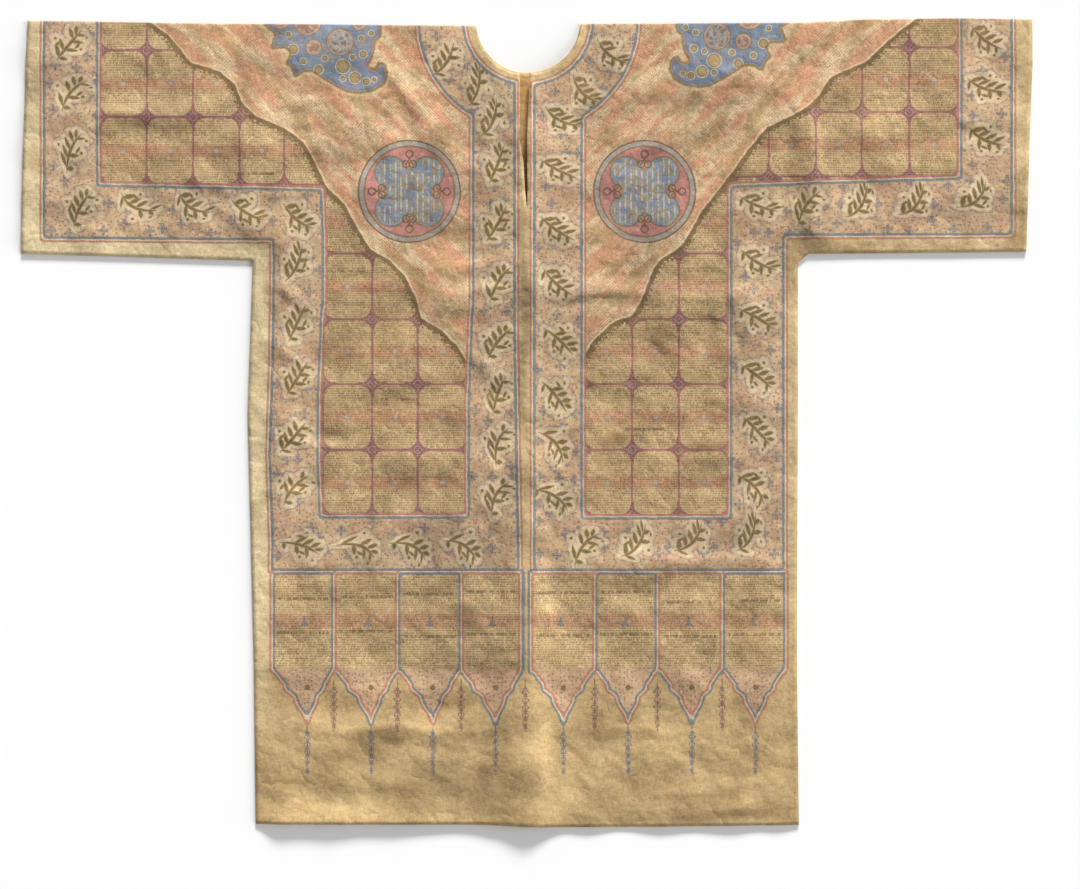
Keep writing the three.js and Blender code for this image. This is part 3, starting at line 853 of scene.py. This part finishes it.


# The painting. Ink, colours and gold lie on the starched cotton in thin flat strokes, and wear
# and damp have mottled them, with painted shade and painted light along the folds over them.
# Every effect below is a node group, used by both panels.
PAINT = {
    "chalk": (0.65, 0.54, 0.37), "ink red": (0.40, 0.165, 0.12), "ink blue": (0.145, 0.18, 0.20),
    "brown ink": (0.15, 0.10, 0.045), "row ink": (0.165, 0.105, 0.045),
    "orange": (0.52, 0.255, 0.15), "old gold": (0.16, 0.108, 0.036),
    # The bare cloth, the band and its leaf sprays
    "hem": (0.47, 0.32, 0.145), "pale side": (0.74, 0.60, 0.36), "inner face": (0.60, 0.34, 0.11),
    # The darkening of the creases' troughs is painted shade as well as dirt
    "stain": (0.33, 0.19, 0.08), "trough soil and shade": (0.29, 0.17, 0.075), "band": (0.55, 0.395, 0.23),
    "rosy band": (0.50, 0.30, 0.18), "red scroll": (0.39, 0.21, 0.14),
    "red flower": (0.33, 0.105, 0.07), "grey flower": (0.14, 0.13, 0.155),
    "fan": (0.12, 0.135, 0.17), "halo": (0.64, 0.51, 0.325), "halo edge": (0.18, 0.19, 0.22),
    "leaf edge": (0.28, 0.20, 0.085),
    # The grids and the yoke
    "grid": (0.515, 0.36, 0.185), "cell": (0.25, 0.09, 0.10), "knot": (0.16, 0.062, 0.07),
    "weave": (0.47, 0.29, 0.24), "ring": (0.48, 0.42, 0.27), "ring edge": (0.19, 0.20, 0.21),
    "yoke": (0.72, 0.525, 0.315), "yoke streak": (0.63, 0.295, 0.17),
    "yoke tan": (0.41, 0.285, 0.125), "yoke margin": (0.66, 0.50, 0.31),
    "yoke barbs": (0.15, 0.10, 0.04),
    # The medallions
    "medallion": (0.50, 0.225, 0.195), "medallion blush": (0.40, 0.14, 0.14),
    "medallion ring": (0.33, 0.335, 0.285), "medallion rim": (0.13, 0.10, 0.055),
    "inner rim": (0.21, 0.15, 0.065), "blue": (0.165, 0.235, 0.325),
    "faint blue": (0.36, 0.38, 0.36), "worn heart": (0.20, 0.145, 0.10),
    "stem": (0.50, 0.46, 0.34), "stem edge": (0.27, 0.19, 0.085),
    "lobe edge": (0.235, 0.17, 0.075), "notch knot": (0.15, 0.105, 0.05),
    # The crested shapes
    "crest": (0.16, 0.215, 0.30), "faint crest": (0.28, 0.30, 0.30),
    "crest halo": (0.63, 0.48, 0.30), "crest plum": (0.20, 0.12, 0.16),
    "crest gold": (0.245, 0.165, 0.065), "disc": (0.46, 0.30, 0.21),
    "disc edge": (0.24, 0.17, 0.10), "disc heart": (0.17, 0.15, 0.15),
    "pale curl": (0.43, 0.40, 0.34), "red curl": (0.23, 0.13, 0.09), "loop": (0.345, 0.25, 0.11),
    # The skirt and its pendants
    "skirt": (0.58, 0.41, 0.21), "sash": (0.51, 0.265, 0.16), "foot": (0.53, 0.345, 0.205),
    "foot dot": (0.22, 0.12, 0.12), "tree": (0.12, 0.145, 0.15),
    "blue pendant": (0.145, 0.15, 0.175), "red pendant": (0.20, 0.105, 0.095),
}


def node_group(name, inputs, outputs):
    """A shader node group with named sockets. Gives its inputs as Fields, and its closing node."""
    group = bpy.data.node_groups.new(name, "ShaderNodeTree")
    for label in inputs:
        kind = "NodeSocketFloat"
        if label in ("Place", "Base", "Run"):
            kind = "NodeSocketVector"
        if label.endswith("Colour"):
            kind = "NodeSocketColor"
        group.interface.new_socket(label, in_out="INPUT", socket_type=kind)
    for label in outputs:
        kind = "NodeSocketColor" if label == "Colour" else "NodeSocketFloat"
        group.interface.new_socket(label, in_out="OUTPUT", socket_type=kind)
    entry = group.nodes.new("NodeGroupInput")
    leave = group.nodes.new("NodeGroupOutput")
    return [Field(entry.outputs[label]) for label in inputs], leave


def give(leave, **outputs):
    """Links fields to a group's outputs."""
    for label, value in outputs.items():
        leave.id_data.links.new(value.socket, leave.inputs[label])
    return leave.id_data


def combine(x, y):
    return x.node("ShaderNodeCombineXYZ", (x, y, 0.0))


def least_of(fields):
    """The least of several fields at each point."""
    least = fields[0]
    for field in fields[1:]:
        least = least.least(field)
    return least


# A brushed line: full where the distance is within half the width of the line's middle
(distance, middle, width, blur), leave = node_group(
    "brushed line", ["Distance", "Middle", "Width", "Blur"], ["Mask"])
off = abs(distance - middle)
outermost = (width + blur) * 0.5
innermost = (width - blur) * 0.5
BRUSHED_LINE = give(leave, Mask=off.ramp(outermost, innermost))

# A pointed leaf: the distance to the line from its base along its run, less a half width that
# is nothing at both ends and fullest midway
(place, base, run, girth), leave = node_group(
    "pointed leaf", ["Place", "Base", "Run", "Girth"], ["Distance"])
from_base = place.vector("SUBTRACT", base)
share = (from_base.vector("DOT_PRODUCT", run, output="Value")
         / run.vector("DOT_PRODUCT", run, output="Value")).most(0.0).least(1.0)
off = from_base.vector("SUBTRACT", run.times(share)).length()
fullness = share * (1.0 - share) * 4.0
POINTED_LEAF = give(leave, Distance=off - girth * fullness)

# Rows of small ticks: a mark wherever a noise along the row is high, as small writing looks
(place, pitch), leave = node_group("rows of ticks", ["Place", "Pitch"], ["Mask"])
x_mm, y_mm, _ = place.split()
row = y_mm / pitch
height_in_row = abs(row.fraction() - 0.5)
marks = combine(x_mm / pitch, row.math("FLOOR") * 7.31).noise(1.9, 1)
ROWS_OF_TICKS = give(leave, Mask=height_in_row.ramp(0.42, 0.28) * marks.ramp(0.38, 0.53))

# Small flowers strewn about: in each cell of a Voronoi pattern, four petals round its point
(place, spacing, reach), leave = node_group(
    "strewn flowers", ["Place", "Spacing", "Reach"], ["Mask", "Chance"])
settings = {"Vector": place, "Scale": 1.0 / spacing, "Randomness": 0.8}
heart = place.node("ShaderNodeTexVoronoi", settings, "Position", voronoi_dimensions="2D")
chance = heart.other("Color").split()[0]
offset = place.vector("SUBTRACT", heart)
petal_x, petal_y, _ = offset.split()
far = offset.length()
lobes = abs(petal_x * petal_x - petal_y * petal_y) / (far * far + 0.01)
size = reach * (lobes * 0.65 + 0.35)
STREWN_FLOWERS = give(leave, Mask=(size - far).ramp(-0.2, 0.3), Chance=chance)

# Thin scrolls: lines where a soft noise passes through its middle value
(place, spacing, width), leave = node_group(
    "thin scrolls", ["Place", "Spacing", "Width"], ["Mask"])
contour = abs(place.noise(1.0 / spacing, 1.0) - 0.5) * spacing * 0.5
THIN_SCROLLS = give(leave, Mask=contour.ramp(width, width * 0.4))

# Starched cotton: clouds of a light and a dark tone, threads that cross, and a fine crumple
(place, light, dark), leave = node_group(
    "starched cotton", ["Place", "Light Colour", "Dark Colour"], ["Colour", "Height", "Shade"])
clouds = place.noise(0.021, 4, 0.62)
tone = dark.over(light, clouds.ramp(0.36, 0.62))
x_mm, y_mm, _ = place.split()
warp = combine(x_mm * 1.3, y_mm * 0.16).noise(1.0, 0)
weft = combine(x_mm * 0.16, y_mm * 1.3).noise(1.0, 0)
threads = (warp + weft) * 0.5
speck = place.noise(0.9, 1, 0.6)
grain = place.noise(0.3, 2, 0.65)
patches = clouds.ramp(0.34, 0.66, 0.8, 1.2)
shade = (threads - 0.5) * 0.55 + (speck - 0.5) * 0.55 + (grain - 0.5) * 0.65 + patches
crumple = abs(place.noise(0.035, 2, 0.5) - 0.5) * 3.8
pucker = place.noise(0.13, 2, 0.55) * 0.5
STARCHED_COTTON = give(leave, Colour=tone, Shade=shade, Height=crumple + pucker + threads * 0.16)

# A spray of leaves: a bent stem, leaves to both sides, some left out by chance, and buds.
# Each leaf's row has its base, its run and its half width.
LEAF = [(name, float) for name in ("base_x", "base_y", "run_x", "run_y", "girth")]
LEAVES = np.array([
    (-20, -5, 40, 8, 1.5),
    (-16, -4, 8, 12, 1.9),
    (-8, -2, 7, 12, 1.7),
    (-6, -2, 8, -10, 1.8),
    (0, 0, 6, 12, 1.9),
    (4, 1, 8, -10, 1.7),
    (8, 2, 6, 11, 1.8),
    (-17, -4, 5, -8, 1.6),
    (13, 3, 7, 7, 1.6),
    (12, 3, 7, -7, 1.5),
    (-11, 7, 8, 1, 1.3),
    (1, -8, 8, 1, 1.2),
], LEAF)
BUDS = [(-4.0, 13.5, 1.3), (5.0, -12.5, 1.3), (18.0, -6.5, 1.2)]
LEAF_CHANCE = 0.16
# Discs and loops in the crested shapes on the shoulders: x, y, radius
DISCS = {
    "ringed": [(-185, 376, 13.5), (-211, 371, 8.2), (-217, 396, 13.5), (-166, 396, 8),
               (-243, 397, 8)],
    "gold": [(-182, 352, 6.4), (-170, 341, 5.2), (-159, 337, 3.2), (-151, 339, 2.0),
             (-164, 380, 2.4), (-162, 364, 3.2), (-172.5, 361, 2.2), (-200, 360, 2.6),
             (-221, 357, 2.6), (-182, 340, 2.4), (-206, 349, 4.0), (-231, 369, 4.4),
             (-236, 384, 2.2), (-154, 385, 2.2)],
}
MEDALLION = {"x": 116.3, "y": 228.4, "rim": 50.3, "ring": 47.4, "inner rim": 44.6}
BOLD_ROWS = [(-180, 151), (-126, 22), (-269, 245), (117, -7), (171, 151)]
# Half a cell of the grid, how far the knots at its corners reach, and how far apart rows lie
HALF_CELL = {"across": 23.4, "up": 32.6}
KNOT_REACH = 12.5
PITCH = {"fine": 2.3, "bold": 4.2}
# How much smaller the sprays are painted than their table, and how far off a leaf left out is put
SPRAY_SHRINK = 1.05
LEFT_OUT = 30.0
COSINE_45 = 0.7071


def use_group(made, output, **values):
    """Adds a node group to the tree of the fields that it is given. Gives one of its outputs."""
    tree = next(value.socket.id_data for value in values.values() if isinstance(value, Field))
    inputs = {label.replace("_", " "): value for label, value in values.items()}
    return shader_node(tree, "ShaderNodeGroup", inputs, output, node_tree=made)


def line(field, middle, width, blur=0.5):
    return use_group(BRUSHED_LINE, "Mask", Distance=field, Middle=middle, Width=width, Blur=blur)


def ticks(places, pitch):
    return use_group(ROWS_OF_TICKS, "Mask", Place=places, Pitch=pitch)


def scrolls(places, spacing, width):
    return use_group(THIN_SCROLLS, "Mask", Place=places, Spacing=spacing, Width=width)


def flowers(places, spacing, reach):
    """Strewn flowers, and a number from 0 to 1 that is each flower's own."""
    mask = use_group(STREWN_FLOWERS, "Mask", Place=places, Spacing=spacing, Reach=reach)
    return mask, mask.other("Chance")


def away(places, x, y):
    """How far a place is from a point."""
    return places.vector("DISTANCE", (x, y, 0), output="Value")


def nearest_disc(places, rows):
    """The distance to the nearest of some discs, below 0 inside it. A row is x, y and radius."""
    return least_of([away(places, x, y) - radius for x, y, radius in rows])


def paint_band(colour, place, drift, band):
    """The band: a pinkish ground with thin scrolls, red and grey flowers, and fans of leaves."""
    ground = colour.over("band", 0.85).over("rosy band", drift.ramp(0.46, 0.6) * 0.55)
    ground = ground.over("red scroll", scrolls(place, 9.0, 0.5) * 0.28)
    small, chance = flowers(place, 4.6, 1.2)
    ground = ground.over("red flower", small * chance.ramp(0.6, 0.65) * 0.8)
    ground = ground.over("grey flower", small * chance.ramp(0.3, 0.25) * 0.8)
    # A fan of leaves is a large flower whose petals are cut by rays from its foot
    large, _ = flowers(place, 23.0, 5.6)
    rays = place.noise(1.1, 1).ramp(0.44, 0.5)
    return colour.over(ground.over("fan", large * rays * 0.85), band)


def paint_sprays(colour, place, hand, flecks, band, in_outer):
    """The leaf sprays: gold on a chalk halo, with a thin blue edge that wavers."""
    along, aside, number = place.kept("spray", "Vector").split()
    bend = ((number * 5.3).fraction() - 0.5) * 0.045
    lean = ((number * 9.7).fraction() - 0.5) * 0.5
    bent = aside + along * along * bend + along * lean
    spot = combine(along, bent).times(SPRAY_SHRINK)
    leaves = []
    for index, leaf in enumerate(LEAVES):
        base = (leaf["base_x"], leaf["base_y"], 0)
        run = (leaf["run_x"], leaf["run_y"], 0)
        found = use_group(POINTED_LEAF, "Distance", Place=spot, Base=base, Run=run,
                          Girth=float(leaf["girth"]))
        if index:
            drawn = (number * 91.7 + index * 0.377).fraction()
            found = found + drawn.ramp(LEAF_CHANCE, LEAF_CHANCE - 0.01) * LEFT_OUT
        leaves.append(found)
    nearest = least_of([*leaves, nearest_disc(spot, BUDS)]) + hand * 0.5
    waver = (place.noise(0.22, 1) - 0.5) * 4.0
    colour = colour.over("halo", nearest.ramp(5.0, 2.8) * band * 0.7)
    colour = colour.over("halo edge", line(nearest + waver, 5.6, 0.8) * band * 0.7)
    colour = colour.over("leaf edge", nearest.ramp(0.9, 0.1) * in_outer * 0.8)
    worn = flecks.ramp(0.3, 0.6, 0.7, 1.0)
    return colour.over("old gold", nearest.ramp(0.1, -0.4) * worn * in_outer * 0.9)


def paint_yoke(field, place, mirrored_x, y_mm, in_yoke):
    """The yoke's pink and tan streaks. Gives it, and the places turned to slant as its rows do."""
    slant = (mirrored_x + y_mm) * COSINE_45
    athwart = (y_mm - mirrored_x) * COSINE_45
    streak = combine(slant * 0.02, athwart * 0.07).noise(1.0, 4, 0.6)
    tan_streak = combine(slant * 0.026, athwart * 0.06 + 40.0).noise(1.0, 4, 0.6)
    ground = field.over("yoke", 0.9)
    ground = ground.over("yoke streak", streak.ramp(0.44, 0.56) * 0.84)
    ground = ground.over("yoke tan", tan_streak.ramp(0.5, 0.6) * 0.66)
    return field.over(ground, in_yoke), place.over(combine(slant, athwart), in_yoke)


def paint_grid(field, hand, across, up, in_grid):
    """The grid: each cell a rounded box in plum, a ring in it, and a star knot at each corner."""
    dx = (1.0 - abs(across)) * HALF_CELL["across"]
    dy = (1.0 - abs(up)) * HALF_CELL["up"]
    near_x = (KNOT_REACH - dx).most(0.0)
    near_y = (KNOT_REACH - dy).most(0.0)
    to_box = KNOT_REACH - (near_x * near_x + near_y * near_y).math("SQRT") + hand * 0.4
    knot = (dx * dx + dy * dy).math("SQRT")
    in_knot = to_box.below_zero() * in_grid
    field = field.over("knot", in_knot * knot.ramp(15.0, 12.0) * 0.86)
    weave = line(knot, 3.6, 0.8).most(line(abs(dx - dy), 0.0, 0.8) * knot.ramp(6.0, 5.0))
    weave = weave.most(line(dx + dy, 7.6, 0.8)).most(line(abs(dx - dy), 5.0, 0.7))
    field = field.over("weave", weave * in_knot * 0.62)
    field = field.over("cell", line(to_box, 0.2, 2.0) * in_grid * 0.82)
    ring = combine(across * HALF_CELL["across"], up * HALF_CELL["up"]).length()
    field = field.over("ring", ring.ramp(3.0, 2.4) * in_grid * 0.38)
    return field.over("ring edge", line(ring, 2.9, 0.9) * in_grid * 0.72)


def paint_medallions(colour, place, mirrored_x, y_mm, hand, cloudy, blush):
    """The medallions: a grey ring, a pink field, and a four-lobed blue shape with gold stems."""
    spot = combine(mirrored_x - MEDALLION["x"], y_mm - MEDALLION["y"])
    from_middle = spot.length()
    round_it = from_middle + hand * 0.5
    colour = colour.over("medallion", round_it.ramp(50.6, 50.0) * 0.9)
    colour = colour.over("medallion blush", round_it.ramp(44.5, 44.0) * blush * 0.6)
    colour = colour.over("medallion ring", line(round_it, MEDALLION["ring"], 3.8) * 0.85)
    colour = colour.over("medallion rim", line(round_it, MEDALLION["rim"], 1.6) * 0.8)
    colour = colour.over("inner rim", line(round_it, MEDALLION["inner rim"], 1.7) * 0.85)
    side, rise, _ = spot.split()
    side, rise = abs(side), abs(rise)
    lobe = combine(side - 18.2, rise - 18.6).length() - 16.0
    shape = lobe.least(side.most(rise) - 22.0) + hand * 0.6
    colour = colour.over("blue", shape.below_zero() * 0.92)
    colour = colour.over("faint blue", shape.below_zero() * cloudy.ramp(0.6, 0.38) * 0.45)
    stem = abs((side / 5.4 + hand * 0.08).fraction() - 0.5)
    stands = cloudy.ramp(0.57, 0.54)
    inside_shape = shape.ramp(-1.8, -2.6)
    worn_heart = from_middle.ramp(24.0, 6.0) * blush
    colour = colour.over("worn heart", worn_heart * inside_shape * 0.4)
    colour = colour.over("stem", stem.ramp(0.2, 0.14) * stands * inside_shape * 0.7)
    stem_edges = line(stem, 0.26, 0.14, 0.06) * stands
    twigs = scrolls(place, 13.0, 0.26)
    colour = colour.over("stem edge", stem_edges.most(twigs) * inside_shape * 0.75)
    colour = colour.over("lobe edge", line(shape, 0.0, 1.9) * 0.9)
    # A looped knot stands in each of its four notches
    long_way, short_way = side.most(rise), side.least(rise)
    loop = combine(long_way - 37.0, short_way).length()
    bulb = combine(long_way - 27.0, short_way - 3.4).length()
    strand = line(short_way - abs(long_way - 32.0) * 0.62, 0.0, 1.6)
    knotted = line(loop, 3.5, 1.5).most(line(bulb, 3.4, 1.5))
    knotted = knotted.most(strand * line(long_way, 31.0, 9.0))
    return colour.over("notch knot", knotted * 0.92)


def paint_crests(colour, place, mirrored_x, x_mm, y_mm, crest, blush):
    """The crested shapes: mottled blue, edged with gold, with discs, loops and curls."""
    on_right = x_mm.ramp(-1, 1)
    crest_x = mirrored_x - on_right * CREST_SHIFT[0]
    crest_y = y_mm - on_right * CREST_SHIFT[1]
    mirrored_place = combine(crest_x * -1.0, crest_y)
    colour = colour.over("crest halo", line(crest, -4.0, 2.2, 1.0) * 0.55)
    colour = colour.over("crest", crest.above_zero() * 0.94)
    colour = colour.over("faint crest", crest.above_zero() * blush * 0.5)
    colour = colour.over("crest plum", line(crest, 1.7, 1.2) * 0.6)
    colour = colour.over("crest gold", line(crest, -1.0, 2.2) * 0.88)
    ringed = nearest_disc(mirrored_place, DISCS["ringed"])
    golden = nearest_disc(mirrored_place, DISCS["gold"])
    colour = colour.over("disc", ringed.below_zero() * 0.9)
    curls = scrolls(place, 7.0, 0.45)
    heart = combine(crest_x - 185.0, crest_y - 376.0).length()
    colour = colour.over("disc heart", heart.ramp(11.4, 10.8) * 0.8)
    colour = colour.over("pale curl", curls * heart.ramp(11.0, 10.4) * 0.7)
    in_other_discs = ringed.ramp(-2.2, -2.8) * heart.ramp(13.0, 14.0)
    colour = colour.over("red curl", curls * in_other_discs * 0.7)
    colour = colour.over("disc edge", line(ringed, -0.2, 1.3) * 0.85)
    colour = colour.over("chalk", golden.ramp(1.5, 1.0) * crest.ramp(-0.5, 0.5) * 0.7)
    colour = colour.over("loop", golden.below_zero() * 0.9)
    return colour.over("brown ink", line(golden, -0.2, 0.9) * 0.7)


def paint_skirt(colour, place, hand, to_tip, panel, rows):
    """The skirt's panels: rows of ticks, an orange band with a small tree, and a cusped foot."""
    x_mm, y_mm, _ = place.split()
    skirt = colour.over("skirt", 0.85)
    sash = abs(y_mm + 196.0)
    skirt = skirt.over("sash", sash.ramp(7.4, 6.6) * 0.72)
    skirt = skirt.over("row ink", rows)
    foot = skirt.over("foot", 0.9)
    dots, chance = flowers(place, 3.9, 1.2)
    foot = foot.over("foot dot", dots * chance.ramp(0.4, 0.45) * 0.8)
    foot = foot.over("old gold", away(combine(to_tip, y_mm), 0, -262).ramp(2.9, 2.4) * 0.85)
    skirt = skirt.over(foot, (y_mm + hand).ramp(-241, -245))
    # A tree of three tiers of leaves stands on the orange band of each panel
    tree_x = abs(to_tip + 3.0)
    tall = (y_mm + 201.5) / 11.0
    tiers = abs((tall * 3.0).fraction() - 0.35)
    tree_half = (1.0 - tall) * 4.0 - tiers * 2.2 + 0.6
    tree_mask = (tree_half - tree_x + hand * 0.5).ramp(0.0, 0.5) * tall.ramp(-0.02, 0.02)
    bare = line(tree_x, 1.1, 0.7) * 0.6
    skirt = skirt.over("tree", tree_mask * tall.ramp(1.02, 0.98) * (1.0 - bare) * 0.8)
    # Two rows of ticks in darker ink cross each panel, each panel's at heights of its own
    lower_by = ((x_mm - to_tip) * 0.0613).fraction()
    shifted_y = y_mm + lower_by * 12.0 + hand * 0.8
    writing = ticks(combine(x_mm, shifted_y), PITCH["bold"])
    high_row = line(shifted_y, -199.5, 4.2) * lower_by.ramp(0.4, 0.42)
    low_row = line(shifted_y, -207.9, 4.2) * lower_by.ramp(0.42, 0.4)
    written = line(shifted_y, -165.9, 4.2).most(high_row).most(low_row)
    return skirt.over("brown ink", writing * written * panel.ramp(4, 6) * 0.72)


def paint_pendants(colour, y_mm, hand, flecks, to_tip, to_border, in_panel):
    """Pendants hang from the tips and between the feet: leafy stems that narrow downwards."""
    hung = [
        (abs(to_tip), -349.0, -306.0, 4.2, "blue pendant", y_mm.ramp(-297, -299)),
        (abs(to_border), -306.0, -262.0, 6.4, "red pendant", 1.0 - in_panel),
    ]
    for beside, foot_y, head_y, widest, paint, under_edge in hung:
        link = abs((y_mm / 7.4).fraction() - 0.5) * 7.4
        girth = y_mm.ramp(foot_y, head_y, 1.7, widest)
        leafy = (link + beside * 0.5 - 1.3).most(beside - girth)
        sprig = abs(link - beside * 0.9 - 0.6) - 0.6
        leafy = leafy.least(sprig.most(beside - girth * 0.9))
        leafy = leafy + y_mm.ramp(head_y + 1.0, head_y + 3.0) * 9.0
        hanging = leafy.least(beside - 0.5) + hand * 0.6 + (flecks - 0.5) * 1.8
        reach = y_mm.ramp(head_y + 9.0, head_y + 8.0) * y_mm.ramp(foot_y, foot_y + 2.0) * under_edge
        colour = colour.over(paint, hanging.ramp(0.4, -0.2) * reach * 0.85)
    return colour


def paint_frames(colour, outer, inner, panel, turn):
    """The frames' three lines: chalk between red and blue, which change sides panel by panel."""
    colour = colour.over("chalk", line(outer, 0.0, 1.7).most(line(inner, 0.0, 1.7)) * 0.5)
    colour = colour.over("chalk", line(panel, 0.0, 1.7) * 0.5)
    blues = line(outer, 1.9, 2.6).most(line(inner, -1.9, 2.6))
    reds = line(outer, -1.8, 2.1).most(line(inner, 1.8, 2.1))
    inside_line = line(panel, 1.8, 2.3)
    outside_line = line(panel, -1.8, 2.3)
    blues = blues.most(inside_line * turn).most(outside_line * (1.0 - turn))
    reds = reds.most(inside_line * (1.0 - turn)).most(outside_line * turn)
    return colour.over("ink red", reds * 0.8).over("ink blue", blues * 0.85)


def painted_cotton(name, has_yoke, cloth_light, cloth_dark):
    """The painted cloth, laid on in the order that the painter worked: grounds, rows, frames,
    then leaves and gold, then wear with painted shade and painted light. Every place in it is in
    millimetres on the flat cloth."""
    material, tree, shader = new_material(name)
    place = shader_node(tree, "ShaderNodeAttribute", (), "Vector", attribute_name="pattern")
    x_mm, y_mm, _ = place.split()
    hand = (place.noise(0.11, 2) - 0.5) * 1.6
    drift = place.noise(0.025, 2, 0.6)
    flecks = place.noise(0.4, 1)
    mottle = place.noise(0.06, 2)
    outer = place.kept("outer_line") + hand
    inner = place.kept("inner_line") + hand
    in_outer = outer.above_zero()
    in_inner = inner.above_zero()
    band = in_outer * (1.0 - in_inner)

    # The bare cloth, browner towards the hem and pale along its left side
    cloth = use_group(STARCHED_COTTON, "Colour", Place=place, Light_Colour=cloth_light,
                      Dark_Colour=cloth_dark)
    colour = cloth.over("hem", y_mm.ramp(-120, -230) * 0.75)
    pale_side = x_mm.ramp(-244, -262) * y_mm.ramp(-330, -180)
    colour = colour.over("pale side", pale_side * 0.75)
    colour = paint_band(colour, place, drift, band)
    colour = paint_sprays(colour, place, hand, flecks, band, in_outer)

    # The field inside the frames: an orange stripe through each cell, the yoke, and rows of ticks
    across, up, _ = place.kept("cell", "Vector").split()
    field = colour.over("grid", 0.9)
    stripe = abs(up) * HALF_CELL["up"] + (drift - 0.5) * 4.0
    field = field.over("orange", stripe.ramp(6.6, 5.4) * mottle.ramp(0.2, 0.5) * 0.78)
    if has_yoke:
        mirrored_x = abs(x_mm)
        yoke = place.kept("yoke_line") + hand * 1.5
        in_yoke = yoke.ramp(-0.5, 0.5)
        field, turned = paint_yoke(field, place, mirrored_x, y_mm, in_yoke)
        rows = ticks(turned, PITCH["fine"]) * in_yoke.ramp(0, 1, 1.0, 0.68)
        in_grid = 1.0 - in_yoke
    else:
        rows = ticks(place, PITCH["fine"])
        in_grid = in_inner
    rows = rows * mottle.ramp(0.35, 0.65, 0.45, 0.8)
    field = field.over("row ink", rows)

    # Here and there a row of the grid is in darker ink
    bold = ticks(place, PITCH["bold"])
    for row_x, row_y in BOLD_ROWS:
        here = line(y_mm, row_y, 4.0) * line(x_mm, row_x, 40.0)
        field = field.over("brown ink", bold * here * 0.8)
    field = paint_grid(field, hand, across, up, in_grid)
    colour = colour.over(field, in_inner)

    if has_yoke:
        # The yoke ends in a pale margin and a brown line with barbs
        barbs = flecks.ramp(0.45, 0.6, 2.7, 6.4)
        edge = yoke.ramp(1.2, 0.7) * (yoke + barbs).above_zero()
        colour = colour.over("yoke margin", line(yoke, 2.2, 1.5) * in_inner * 0.75)
        colour = colour.over("yoke barbs", edge * in_inner * 0.88)
        cloudy = place.noise(0.09, 2, 0.55)
        blush = cloudy.ramp(0.42, 0.62)
        colour = paint_medallions(colour, place, mirrored_x, y_mm, hand, cloudy, blush)
        crest = place.kept("crested_line") + hand * 0.8
        colour = paint_crests(colour, place, mirrored_x, x_mm, y_mm, crest, blush)

    panel = place.kept("panel_line") + hand * 0.5
    to_tip, to_border, turn = place.kept("panel", "Vector").split()
    in_panel = panel.above_zero()
    colour = colour.over(paint_skirt(colour, place, hand, to_tip, panel, rows), in_panel)
    colour = paint_pendants(colour, y_mm, hand, flecks, to_tip, to_border, in_panel)
    colour = paint_frames(colour, outer, inner, panel, turn)

    # Wear and painted shade: creases worn and painted lighter on their ridges, dirty and painted darker
    # in their troughs, stains, soft patches of painted shade and light, and the threads
    crease = place.kept("crease")
    # Painted light on the creases' ridges and painted shade in their troughs, with some wear
    crease_wear_and_shade = crease.ramp(-1.4, 1.4, 0.84, 1.14)
    stains = place.noise(0.017, 4, 0.65).ramp(0.52, 0.7)
    colour = colour.over("stain", stains * 0.38)
    # Painted shade with dirt, strongest in the creases' troughs and faint elsewhere, in patches of the
    # mottle
    trough_soil_and_shade = mottle.ramp(0.54, 0.7) * crease.ramp(0.1, -0.7, 0.3, 1.0)
    colour = colour.over("trough soil and shade", trough_soil_and_shade * 0.5)
    shade = cloth.other("Shade")
    coated = place.kept("painted").ramp(0, 1, 0.12, 1)
    colour = cloth.over("inner face", 0.65).over(colour, coated)
    # The kept patches are painted shade and painted light along the folds, with some soiling
    colour = colour.times(shade * crease_wear_and_shade * place.kept("patches"))

    bump = shader_node(tree, "ShaderNodeBump",
                       {"Height": cloth.other("Height"), "Distance": 0.001}, "Normal")
    plug(tree, shader, Base_Color=colour, Normal=bump, Roughness=shade.ramp(0.7, 1.3, 0.66, 0.86))
    shader.inputs["Specular IOR Level"].default_value = 0.28
    shader.inputs["Sheen Weight"].default_value = 0.06
    shader.inputs["Sheen Roughness"].default_value = 0.5
    return material


front.data.materials.append(painted_cotton(
    "painted front cotton", has_yoke=True,
    cloth_light=(0.60, 0.45, 0.24, 1), cloth_dark=(0.50, 0.35, 0.17, 1)))
back.data.materials.append(painted_cotton(
    "painted back cotton", has_yoke=False,
    cloth_light=(0.56, 0.41, 0.20, 1), cloth_dark=(0.48, 0.33, 0.14, 1)))
